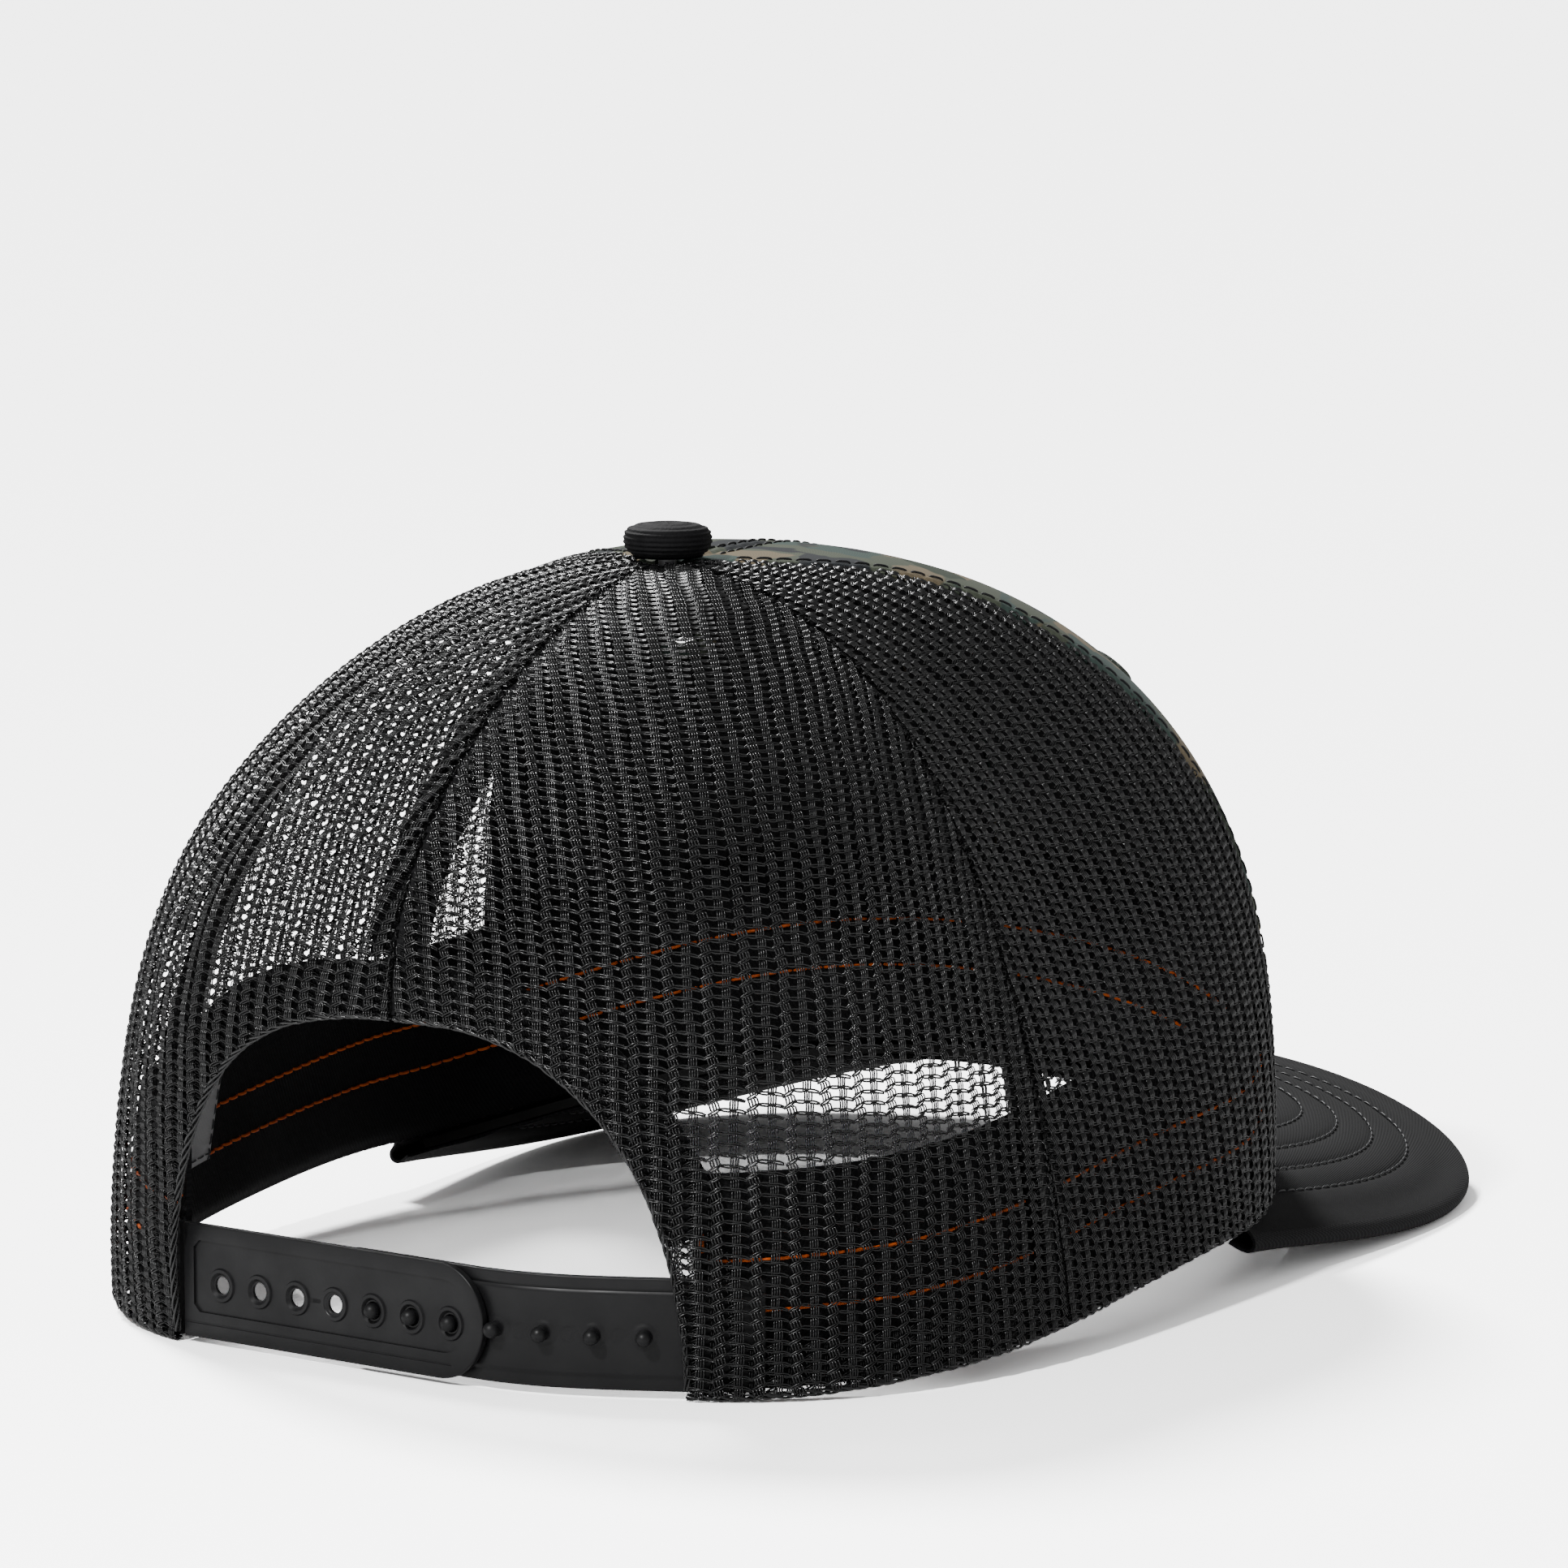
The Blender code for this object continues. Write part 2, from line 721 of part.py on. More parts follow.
def peg_strap(name, mat, home):
    path = inner_path()
    bm = ribbon(path, STRAP_LOW + 0.0003, STRAP_HIGH - 0.0003, STRAP_THICK)
    obj = add_object(name, bm, mat, home, soft=False)
    for k in range(HOLE_COUNT):
        at, run = along(path, STRAP_TIP_OVER + HOLE_PITCH * k)
        out = Vector((run.y, -run.x, 0))
        if out.y < 0:
            out = -out
        tool_bm = bmesh.new()
        at = at + out * (STRAP_THICK / 2) + Vector((0, 0, STRAP_MID_Z - 0.0003))
        peg(tool_bm, at, out)
        bmesh.ops.recalc_face_normals(tool_bm, faces=tool_bm.faces)
        mesh = bpy.data.meshes.new("guide_peg_%d" % (k + 1))
        tool_bm.to_mesh(mesh)
        tool_bm.free()
        tool = bpy.data.objects.new("guide_peg_%d" % (k + 1), mesh)
        tool.display_type = "WIRE"
        tool.hide_render = True
        bpy.data.collections["guides"].objects.link(tool)
        mod = obj.modifiers.new("snap peg", "BOOLEAN")
        mod.object = tool
        mod.operation = "UNION"
        mod.solver = "EXACT"
    return obj


def strap_tab(name, mat, home):
    bm = ribbon(tab_path(1), STRAP_LOW, STRAP_HIGH, STRAP_THICK)
    return add_object(name, bm, mat, home, soft=False)


# ------------------------------------------------------------------ small parts
def turned(profile, sides):
    """A closed round solid from (radius, height) pairs, first and last on the axis."""
    bm = bmesh.new()
    loops = []
    for r, z in profile:
        if r == 0:
            loops.append(bm.verts.new((0, 0, z)))
        else:
            ring = []
            for k in range(sides):
                a = 2 * math.pi * k / sides
                ring.append(bm.verts.new((r * math.cos(a), r * math.sin(a), z)))
            loops.append(ring)
    for a, b in zip(loops, loops[1:]):
        for k in range(sides):
            j = (k + 1) % sides
            if isinstance(a, list) and isinstance(b, list):
                bm.faces.new((a[k], a[j], b[j], b[k]))
            elif isinstance(a, list):
                bm.faces.new((a[k], a[j], b))
            else:
                bm.faces.new((a, b[j], b[k]))
    return bm


def ring_solid(profile, sides):
    """A closed ring from a closed loop of (radius, height) pairs."""
    bm = bmesh.new()
    loops = []
    for r, z in profile:
        ring = []
        for k in range(sides):
            a = 2 * math.pi * k / sides
            ring.append(bm.verts.new((r * math.cos(a), r * math.sin(a), z)))
        loops.append(ring)
    count = len(loops)
    for i in range(count):
        a = loops[i]
        b = loops[(i + 1) % count]
        for k in range(sides):
            j = (k + 1) % sides
            bm.faces.new((a[k], a[j], b[j], b[k]))
    return bm


def place(bm, where, axis):
    turn = Vector(axis).to_track_quat("Z", "Y").to_matrix().to_4x4()
    turn.translation = where
    bmesh.ops.transform(bm, matrix=turn, verts=bm.verts)


def crown_button(name, mat, home):
    profile = [(0, BUTTON_LOW), (BUTTON_R * 0.86, BUTTON_LOW)]
    for deg in (-50, -20, 10, 35, 60):
        a = math.radians(deg)
        r = BUTTON_R * (0.62 + 0.38 * math.cos(a))
        z = BUTTON_LOW + BUTTON_HIGH * (0.46 + 0.46 * math.sin(a))
        profile.append((r, z))
    profile.append((BUTTON_R * 0.45, BUTTON_LOW + BUTTON_HIGH * 0.97))
    profile.append((0, BUTTON_LOW + BUTTON_HIGH))
    bm = turned(profile, 28)
    place(bm, Vector((0, CROWN_Y + TOP_BACK, CROWN_TOP)), (0, 0, 1))
    return add_object(name, bm, mat, home)


def button_backing(name, mat, home):
    top = LINING_IN - 0.0003
    low = top - BACKING_THICK
    profile = [(0, low), (BACKING_R, low), (BACKING_R, top), (SHANK_R, top),
               (SHANK_R, BUTTON_LOW - 0.0003), (0, BUTTON_LOW - 0.0003)]
    bm = turned(profile, 28)
    place(bm, Vector((0, CROWN_Y + TOP_BACK, CROWN_TOP)), (0, 0, 1))
    return add_object(name, bm, mat, home)


def eyelet(sign, name, mat, home):
    """A sewn ring that stands just proud of the front panel."""
    low = FRONT_HALF + 0.0003
    high = low + EYELET_RISE
    mid = (EYELET_HOLE_R + EYELET_OUT_R) / 2
    profile = [(EYELET_HOLE_R, low), (EYELET_OUT_R, low), (EYELET_OUT_R - 0.0003, high - 0.0003),
               (mid, high), (EYELET_HOLE_R + 0.0002, high - 0.0003)]
    bm = ring_solid(profile, 24)
    theta = side_of(sign, EYELET_ANGLE)
    place(bm, crown_middle(theta, EYELET_UP), crown_out(theta, EYELET_UP))
    return add_object(name, bm, mat, home)


# ------------------------------------------------------------------ assembly
def build():
    clear_scene()
    home = collection("trucker_mesh_cap")
    collection("guides")
    camo = paint("camouflage twill", (0.06, 0.075, 0.045), 0.85)
    net = paint("black knitted mesh", (0.012, 0.013, 0.015), 0.45)
    black_cloth = paint("black twill", (0.016, 0.016, 0.018), 0.85)
    stiff = paint("buckram", (0.03, 0.03, 0.03), 0.9)
    binding = paint("black tape", (0.012, 0.012, 0.013), 0.8)
    plastic = paint("black plastic", (0.013, 0.013, 0.014), 0.42)
    board = paint("brim board", (0.35, 0.35, 0.33), 0.6)
    satin = paint("grey satin", (0.28, 0.28, 0.29), 0.5)
    metal = paint("steel", (0.45, 0.45, 0.46), 0.4, 1.0)
    thread = paint("green thread", (0.05, 0.06, 0.04), 0.7)

    for sign, word in ((1, "left"), (-1, "right")):
        panel = front_panel(sign, "front_panel_" + word, camo, home)
        eye = side_of(sign, EYELET_ANGLE)
        cut_round(panel, crown_middle(eye, EYELET_UP), crown_out(eye, EYELET_UP), EYELET_HOLE_R)
        buckram(sign, "front_buckram_" + word, stiff, home)
        side_panel(sign, "side_mesh_" + word, net, home)
        back_panel(sign, "back_mesh_" + word, net, home)
        eyelet(sign, "eyelet_" + word, thread, home)
        top = radius_up(side_of(sign, 1.0), TAPE_TOP)
        tape("front_seam_tape_" + word, lambda u: sign * front_seam(sign)(u),
             0.03, top, TAPE_HALF, binding, home)
        tape("back_seam_tape_" + word, lambda u: sign * back_seam(sign)(u),
             0.03, top, TAPE_HALF, binding, home)
    tape("center_front_tape", lambda u: 0.0, 0.03, radius_up(0.0, TAPE_TOP),
         TAPE_HALF, binding, home)
    above_arch = height_up(math.pi, ARCH_HIGH + ARCH_TAPE + 0.001)
    tape("center_back_tape", lambda u: math.pi, above_arch,
         radius_up(math.pi, TAPE_TOP), TAPE_HALF, binding, home)
    arch_tape("back_opening_tape", binding, home)
    sweatband("sweatband", black_cloth, home)
    size_label("size_label", satin, home)

    brim_layer("brim_board", -BOARD_HALF, BOARD_HALF, 0.0, board, home)
    brim_layer("brim_top_cloth", CLOTH_IN, CLOTH_OUT, BRIM_HEM, black_cloth, home)
    brim_layer("brim_under_cloth", -CLOTH_OUT, -CLOTH_IN, BRIM_HEM, black_cloth, home)

    outer_strap("snap_strap_left", plastic, home)
    strap_tab("snap_strap_left_tab", plastic, home)
    peg_strap("snap_strap_right", plastic, home)

    crown_button("crown_button", black_cloth, home)
    button_backing("button_backing", metal, home)


build()
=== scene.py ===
"""Looks for the trucker mesh cap: knitted yarn, printed cloth, stitching, strap.

The crown surface is worked out with the same formulas as the solids, so every
piece lies where its solid is. Lengths are metres unless a name ends in _MM.
"""
import math

import bmesh
import bpy
import numpy as np
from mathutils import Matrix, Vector


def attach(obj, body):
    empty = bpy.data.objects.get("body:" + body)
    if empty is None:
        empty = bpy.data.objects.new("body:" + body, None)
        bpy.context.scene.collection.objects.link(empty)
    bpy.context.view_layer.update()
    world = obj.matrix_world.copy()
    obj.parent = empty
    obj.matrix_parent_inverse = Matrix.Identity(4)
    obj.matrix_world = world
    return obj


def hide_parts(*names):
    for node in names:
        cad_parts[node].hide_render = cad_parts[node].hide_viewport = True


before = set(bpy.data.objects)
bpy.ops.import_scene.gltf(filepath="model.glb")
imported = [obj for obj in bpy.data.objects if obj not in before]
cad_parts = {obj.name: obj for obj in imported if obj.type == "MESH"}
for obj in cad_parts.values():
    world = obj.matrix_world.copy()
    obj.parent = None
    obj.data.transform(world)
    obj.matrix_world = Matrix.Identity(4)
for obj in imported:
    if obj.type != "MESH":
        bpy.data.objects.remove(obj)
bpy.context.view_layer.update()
MM = 0.001
RNG = np.random.default_rng(7)
WAVES_PER_UNIT = 3.1831   # ridges of a Wave texture of scale 1 in one unit of length

# ---- the crown and brim, as in the solids
CROWN_Y = 0.04061
HALF_WIDTH, HALF_FRONT, HALF_BACK = 0.0849, 0.0995, 0.0956
ROUND_FRONT, ROUND_BACK = 3.03, 2.79
BACK_PULL, BACK_PULL_WIDE, BACK_PULL_LOW, BACK_PULL_HIGH = 0.131, 0.75, 0.10, 0.50
CROWN_TOP, TOP_BACK = 0.1208, 0.0043
DRAW_IN, CLIMB, BULGE = (0.894, 0.827, 1.082), (0.722, 0.924, 0.965), (0.189, -0.086, 0.145)
FRONT_LEAN, FRONT_BUMP, FRONT_BUMP_AT, FRONT_BUMP_WIDE = 0.059, 0.0031, 0.72, 0.22
BRIM_BEND, BRIM_FLARE, BRIM_BEND_MIN, BRIM_BEND_EASE = 0.1687, 0.483, 0.1024, 0.007
BRIM_SLOPE, BRIM_ROOT_Z, BRIM_LENGTH = 0.128, 0.02417, 0.0709
BRIM_CORNER, BRIM_SIDE_SWELL, BRIM_SQUARE = math.radians(62.3), 0.0106, 0.732
BRIM_TUCK, PANEL_STAND, SIDE_LIFT, FOOT_LIFT = 0.0024, 0.0020, 0.0032, 0.0004
FRONT_SEAM, FRONT_SEAM_TOP = {1: 0.840, -1: 0.755}, {1: 1.150, -1: 1.047}
BACK_SEAM, BACK_SEAM_TOP = {1: 1.155, -1: 1.304}, 1.047
ARCH_HALF, ARCH_HIGH, ARCH_SIDE, ARCH_CROWN = 0.532, 0.0572, 0.736, 0.908
FRONT_HALF, LINING_OUT, LINING_IN = 0.0004, -0.0010, -0.0017
BAND_OUT, BAND_IN, BAND_DIP, LABEL_OUT, LABEL_IN = -0.0020, -0.0030, 0.0024, -0.0034, -0.0039
BUTTON_R, BUTTON_LOW, BUTTON_HIGH = 0.00725, 0.0009, 0.0056
EYELET_ANGLE, EYELET_UP, EYELET_R = 0.50, 0.49, 0.0022
STRAP_THICK, STRAP_LOW, STRAP_HIGH, STRAP_LONG = 0.0014, 0.0010, 0.0195, 0.0628
STRAP_BETA, STRAP_LIFT, STRAP_STACK, TAB_LONG = math.radians(9.0), -0.0026, 0.0017, 0.0120
HOLE_FIRST, HOLE_PITCH, HOLE_COUNT = 0.0078, 0.0080, 7


def smooth(x, low, high):
    """0 below low, 1 above high, and a smooth step between them."""
    t = np.clip((x - low) / (high - low), 0, 1)
    return t * t * (3 - 2 * t)


def unit(v):
    return v / np.linalg.norm(v, axis=-1, keepdims=True)


def lengths(points):
    """Distance along a line of points, from its first one."""
    steps = np.linalg.norm(np.diff(points, axis=0), axis=1)
    return np.concatenate([[0], np.cumsum(steps)])


def sample(at, length, values):
    """The rows of values at these distances along their line."""
    return np.stack([np.interp(at, length, column) for column in values.T], -1)


def outline(theta):
    """Plan radius of the crown at its lower edge; theta is 0 at the front."""
    c = np.cos(theta)
    power = np.where(c > 0, ROUND_FRONT, ROUND_BACK)
    depth = np.where(c > 0, HALF_FRONT, HALF_BACK)
    across = np.abs(np.sin(theta)) / HALF_WIDTH
    return (across ** power + (np.abs(c) / depth) ** power) ** (-1 / power)


def brim_bend(y):
    """Radius that the brim is bent to, this far along it."""
    half = (BRIM_BEND - BRIM_FLARE * (y + HALF_FRONT) - BRIM_BEND_MIN) / 2
    return BRIM_BEND_MIN + half + np.sqrt(half ** 2 + BRIM_BEND_EASE ** 2)


def brim_middle(x, y):
    """Height of the middle of the brim."""
    return BRIM_ROOT_Z - x * x / (2 * brim_bend(y)) + BRIM_SLOPE * (y + HALF_FRONT)


def on_brim(a):
    """Height of the crown's lower edge where it stands on the brim."""
    r = outline(a)
    x, y = r * np.sin(a), -r * np.cos(a)
    tilt = np.abs(x) / brim_bend(y)
    return brim_middle(x, y) + PANEL_STAND * np.sqrt(1 + tilt ** 2) + 0.0005 * tilt


def base_height(theta):
    """Height of the crown's lower edge all the way round."""
    turn = np.abs(np.arctan2(np.sin(theta), np.cos(theta)))
    start, step = on_brim(BRIM_CORNER), 0.02
    slope = min(0.0, (start - on_brim(BRIM_CORNER - step)) / step)
    span = math.pi - ARCH_HALF - BRIM_CORNER
    w = np.clip((turn - BRIM_CORNER) / span, 0, 1)
    far = start * (2 * w ** 3 - 3 * w ** 2 + 1) + 0.6 * slope * span * (w ** 3 - 2 * w ** 2 + w)
    far = far + SIDE_LIFT * w * (1 - w) + FOOT_LIFT * w
    return np.where(turn < BRIM_CORNER, on_brim(np.minimum(turn, BRIM_CORNER)), far)


def crown(theta, u):
    """Points on the middle of the crown wall; u is 0 at its edge and 1 at its top."""
    theta, u = np.broadcast_arrays(np.asarray(theta, float), np.asarray(u, float))
    c = np.cos(theta)
    front, back = np.maximum(0, c) ** 2, np.maximum(0, -c) ** 2
    shares = (front, 1 - front - back, back)
    draw = sum(s * v for s, v in zip(shares, DRAW_IN))
    climb = sum(s * v for s, v in zip(shares, CLIMB))
    bulge = sum(s * v for s, v in zip(shares, BULGE)) - FRONT_LEAN * front ** 3
    turn = np.arctan2(np.sin(theta - math.pi), np.cos(theta - math.pi))
    pull = BACK_PULL * np.exp(-(turn / BACK_PULL_WIDE) ** 2)
    pull = pull * (1 - smooth(u, BACK_PULL_LOW, BACK_PULL_HIGH))
    a = np.clip(u, 0, 0.9999) * math.pi / 2
    r = outline(theta) * (1 - pull) * np.cos(a) ** draw * (1 + bulge * np.sin(2 * a))
    up = np.sin(a) ** climb
    low = base_height(theta)
    bump = np.exp(-((u - FRONT_BUMP_AT) / FRONT_BUMP_WIDE) ** 2)
    z = low + (CROWN_TOP - low) * up
    z = z + FRONT_BUMP * bump * np.maximum(0, c) * (1 - smooth(u, 0.80, 0.99))
    return np.stack([r * np.sin(theta), CROWN_Y - r * c + TOP_BACK * up, z], -1)


def crown_normal(theta, u):
    """Outward directions of the crown wall."""
    theta, u = np.broadcast_arrays(np.asarray(theta, float), np.asarray(u, float))
    d = 0.004
    lo, hi = np.maximum(u - d, 0.002), np.minimum(u + d, 0.995)
    return unit(np.cross(crown(theta + d, u) - crown(theta - d, u),
                         crown(theta, hi) - crown(theta, lo)))


def wall(theta, u):
    """Points on the middle of the crown wall, and its outward directions."""
    return crown(theta, u), crown_normal(theta, u)


def front_seam(u, side):
    """Angle from the front to the seam behind the front panel."""
    return FRONT_SEAM[side] + (FRONT_SEAM_TOP[side] - FRONT_SEAM[side]) * u ** 4


def back_seam(u, side):
    """Angle from the front to the seam between the side and back mesh."""
    return math.pi - BACK_SEAM[side] - (BACK_SEAM_TOP - BACK_SEAM[side]) * u ** 4


def arch_rise(theta, grow=0.0):
    """Height of the arch edge above the crown's lower edge."""
    turn = np.abs(np.arctan2(np.sin(theta - math.pi), np.cos(theta - math.pi)))
    c = np.clip(turn / (ARCH_HALF + grow / 0.085), 0, 1) ** (1 / ARCH_SIDE)
    return (ARCH_HIGH + grow) * np.sqrt(1 - c * c) ** ARCH_CROWN


def height_up(theta, rise):
    """Share up at which the wall is this far above its lower edge."""
    theta, rise = np.broadcast_arrays(np.asarray(theta, float), np.asarray(rise, float))
    goal = base_height(theta) + rise
    lo, hi = np.zeros(theta.shape), np.full(theta.shape, 0.97)
    for _ in range(30):
        mid = (lo + hi) / 2
        low = crown(theta, mid)[..., 2] < goal
        lo, hi = np.where(low, mid, lo), np.where(low, hi, mid)
    return (lo + hi) / 2


# ---- materials
def material(name, colour, rough, specular=0.5, metal=0.0):
    """A plain material, with its node tree and its shader."""
    mat = bpy.data.materials.new(name)
    mat.use_nodes = True
    shader = mat.node_tree.nodes["Principled BSDF"]
    shader.inputs["Base Color"].default_value = (*colour, 1)
    shader.inputs["Roughness"].default_value = rough
    shader.inputs["Specular IOR Level"].default_value = specular
    shader.inputs["Metallic"].default_value = metal
    return mat, mat.node_tree, shader


def node(tree, kind, **settings):
    """A shader node; a setting is an input's value or a property."""
    made = tree.nodes.new("ShaderNode" + kind)
    for key, value in settings.items():
        if key in made.inputs:
            made.inputs[key].default_value = value
        else:
            setattr(made, key, value)
    return made


def place_on(tree, scale, uv=None):
    """Coordinates to paint by: the piece's own metres, or a UV layer in metres."""
    if uv:
        source = node(tree, "UVMap", uv_map=uv).outputs["UV"]
    else:
        source = node(tree, "TexCoord").outputs["Object"]
    mapping = node(tree, "Mapping")
    mapping.inputs["Scale"].default_value = scale if isinstance(scale, tuple) else (scale,) * 3
    tree.links.new(source, mapping.inputs["Vector"])
    return mapping.outputs["Vector"]


def ramp(tree, value, stops):
    """A value turned into colours at the given stops."""
    made = node(tree, "ValToRGB")
    elements = made.color_ramp.elements
    while len(elements) < len(stops):
        elements.new(0.5)
    for element, (at, colour) in zip(elements, stops):
        element.position = at
        element.color = (*colour, 1)
    tree.links.new(value, made.inputs["Fac"])
    return made.outputs["Color"]


def noise(tree, where, scale, detail=3.0, rough=0.5):
    made = node(tree, "TexNoise")
    made.inputs["Scale"].default_value = scale
    made.inputs["Detail"].default_value = detail
    made.inputs["Roughness"].default_value = rough
    tree.links.new(where, made.inputs["Vector"])
    return made.outputs["Fac"]


def mix(tree, share, a, b, kind="MIX"):
    """Blends two colours or values; each one is fixed or comes from a node."""
    made = node(tree, "MixRGB", blend_type=kind)
    for key, value in (("Fac", share), ("Color1", a), ("Color2", b)):
        if isinstance(value, (tuple, float)):
            full = (*value, 1) if isinstance(value, tuple) else value
            made.inputs[key].default_value = full
        else:
            tree.links.new(value, made.inputs[key])
    return made.outputs["Color"]


def wave(tree, where, per_metre, angle):
    """Straight sine ridges, turned in the plane by angle."""
    turned = node(tree, "Mapping")
    turned.inputs["Rotation"].default_value = (0, 0, angle)
    tree.links.new(where, turned.inputs["Vector"])
    made = node(tree, "TexWave", wave_profile="SIN")
    made.inputs["Scale"].default_value = per_metre / WAVES_PER_UNIT
    tree.links.new(turned.outputs["Vector"], made.inputs["Vector"])
    return made.outputs["Fac"]


def bump(tree, shader, height, strength, distance):
    made = node(tree, "Bump", Strength=strength, Distance=distance)
    tree.links.new(height, made.inputs["Height"])
    tree.links.new(made.outputs["Normal"], shader.inputs["Normal"])


def vary(name, dark, light, scale, rough, specular=0.5, uv=None, fine=None, rough_to=None):
    """A material whose colour and gloss drift between two values."""
    mat, tree, shader = material(name, dark, rough, specular)
    where = place_on(tree, 1.0, uv)
    tone = noise(tree, where, scale, 4.0)
    tree.links.new(ramp(tree, tone, [(0.3, dark), (0.7, light)]), shader.inputs["Base Color"])
    if rough_to:
        span = [(0.3, (rough,) * 3), (0.7, (rough_to,) * 3)]
        tree.links.new(ramp(tree, tone, span), shader.inputs["Roughness"])
    if fine:
        bump(tree, shader, noise(tree, where, fine[0], 2.0), fine[1], fine[2])
    return mat


# ---- mesh helpers
def mesh_object(name, verts, faces, mat, node_name, uv=None, sharp=None):
    """An object from numpy arrays of points and of equal-sized faces."""
    mesh = bpy.data.meshes.new(name)
    verts = np.ascontiguousarray(verts, np.float32).reshape(-1, 3)
    faces = np.ascontiguousarray(faces, np.int32)
    size = faces.shape[1]
    mesh.vertices.add(len(verts))
    mesh.vertices.foreach_set("co", verts.ravel())
    mesh.loops.add(faces.size)
    mesh.loops.foreach_set("vertex_index", faces.ravel())
    mesh.polygons.add(len(faces))
    mesh.polygons.foreach_set("loop_start", np.arange(0, faces.size, size, dtype=np.int32))
    mesh.update(calc_edges=True)
    for layer, points in (uv or {}).items():
        made = mesh.uv_layers.new(name=layer)
        made.data.foreach_set("uv", np.asarray(points, np.float32)[faces.ravel()].ravel())
    mesh.validate()
    mesh.shade_smooth()
    if sharp:
        mesh.set_sharp_from_angle(angle=math.radians(sharp))
    return finish_piece(name, mesh, mat, node_name)


def finish_piece(name, mesh, mat, node_name, body="cap"):
    """Puts a mesh in the scene as a piece that stands for one node."""
    mesh.materials.append(mat)
    obj = bpy.data.objects.new(name, mesh)
    bpy.context.scene.collection.objects.link(obj)
    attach(obj, body)
    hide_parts(node_name)
    return obj


def unit_uv(flat):
    """Squeezes flat coordinates into the unit square, keeping their shape."""
    flat = np.asarray(flat, float)
    low, high = flat.min(0), flat.max(0)
    return 0.01 + 0.98 * (flat - low) / (high - low).max()


def tubes(path, out, wide, thick, keep=None, flat=None, sides=4):
    """Thin round yarns: path and out are (yarns, points, 3) arrays.

    Returns points, faces and flat coordinates; keep says which lengths to build.
    """
    along = np.gradient(path, axis=1)
    along /= np.linalg.norm(along, axis=-1, keepdims=True) + 1e-12
    side = np.cross(along, out)
    side /= np.linalg.norm(side, axis=-1, keepdims=True) + 1e-12
    up = np.cross(side, along)
    wide = np.broadcast_to(np.asarray(wide, float), path.shape[:2])[..., None, None]
    thick = np.broadcast_to(np.asarray(thick, float), path.shape[:2])[..., None, None]
    turn = np.arange(sides) * 2 * math.pi / sides
    ring = side[:, :, None] * np.cos(turn)[:, None] * wide
    ring = ring + up[:, :, None] * np.sin(turn)[:, None] * thick
    verts = path[:, :, None] + ring
    count, steps = path.shape[:2]
    index = np.arange(count * steps * sides).reshape(count, steps, sides)
    nxt = np.roll(index, -1, axis=2)
    quads = np.stack([index[:, :-1], nxt[:, :-1], nxt[:, 1:], index[:, 1:]], -1)
    if keep is None:
        keep = np.ones((count, steps - 1), bool)
    quads = quads[keep].reshape(-1, 4)
    if flat is None:
        flat = np.zeros((count, steps, 2))
    spot = flat[:, :, None] + np.stack([np.cos(turn), np.sin(turn)], -1) * 0.00007
    return verts.reshape(-1, 3), quads, spot.reshape(-1, 2)


def join(parts):
    """Joins (points, faces, flat) parts and drops the points no face uses."""
    verts, faces, flat, shift = [], [], [], 0
    for v, f, s in parts:
        verts.append(v)
        faces.append(f + shift)
        flat.append(s)
        shift += len(v)
    verts, faces, flat = np.concatenate(verts), np.concatenate(faces), np.concatenate(flat)
    used = np.unique(faces)
    place = np.zeros(len(verts), np.int64)
    place[used] = np.arange(len(used))
    return verts[used], place[faces], flat[used]


# ---- a panel laid flat: s across from its middle line, h up from its edge
PANEL_TOP = 0.985      # share up at which the panels stop, under the button


class Panel:
    """A panel between two seams, given as functions of the share up."""
    ROWS, COLS, REACH = 220, 240, 0.085
    TURN, TURNS = 1.35, 301

    def __init__(self, left, right):
        self.left, self.right = left, right
        self.u = np.linspace(0, PANEL_TOP, self.ROWS)
        middle = (left(self.u) + right(self.u)) / 2
        self.h = lengths(crown(middle, self.u))
        self.s = np.linspace(-self.REACH, self.REACH, self.COLS)
        turn = np.linspace(-self.TURN, self.TURN, self.TURNS)
        theta = middle[:, None] + turn
        ring = crown(theta, self.u[:, None])
        length = np.linalg.norm(np.diff(ring, axis=1), axis=-1)
        length = np.concatenate([np.zeros((self.ROWS, 1)), np.cumsum(length, axis=1)], 1)
        half = self.TURNS // 2
        length -= length[:, half:half + 1]
        rows = zip(length, theta)
        self.theta = np.stack([np.interp(self.s, row, angles) for row, angles in rows])

    def find(self, s, h):
        """Angle and share up of flat points."""
        u = np.interp(h, self.h, self.u)
        row = np.clip(u / self.u[-1] * (self.ROWS - 1), 0, self.ROWS - 1.001)
        col = (s + self.REACH) / (2 * self.REACH) * (self.COLS - 1)
        col = np.clip(col, 0, self.COLS - 1.001)
        i, j = row.astype(int), col.astype(int)
        a, b = row - i, col - j
        t = self.theta
        theta = ((1 - a) * ((1 - b) * t[i, j] + b * t[i, j + 1])
                 + a * ((1 - b) * t[i + 1, j] + b * t[i + 1, j + 1]))
        return theta, u

    def edge_distance(self, theta, u, point):
        """How far inside the panel's seams a point is, in metres."""
        r = np.hypot(point[..., 0], point[..., 1] - CROWN_Y)
        return np.minimum(theta - self.left(u), self.right(u) - theta) * r


# ---- the knit. One repeat is two wales wide and one course high.
WALE_MM, COURSE_MM = 6.0, 1.75
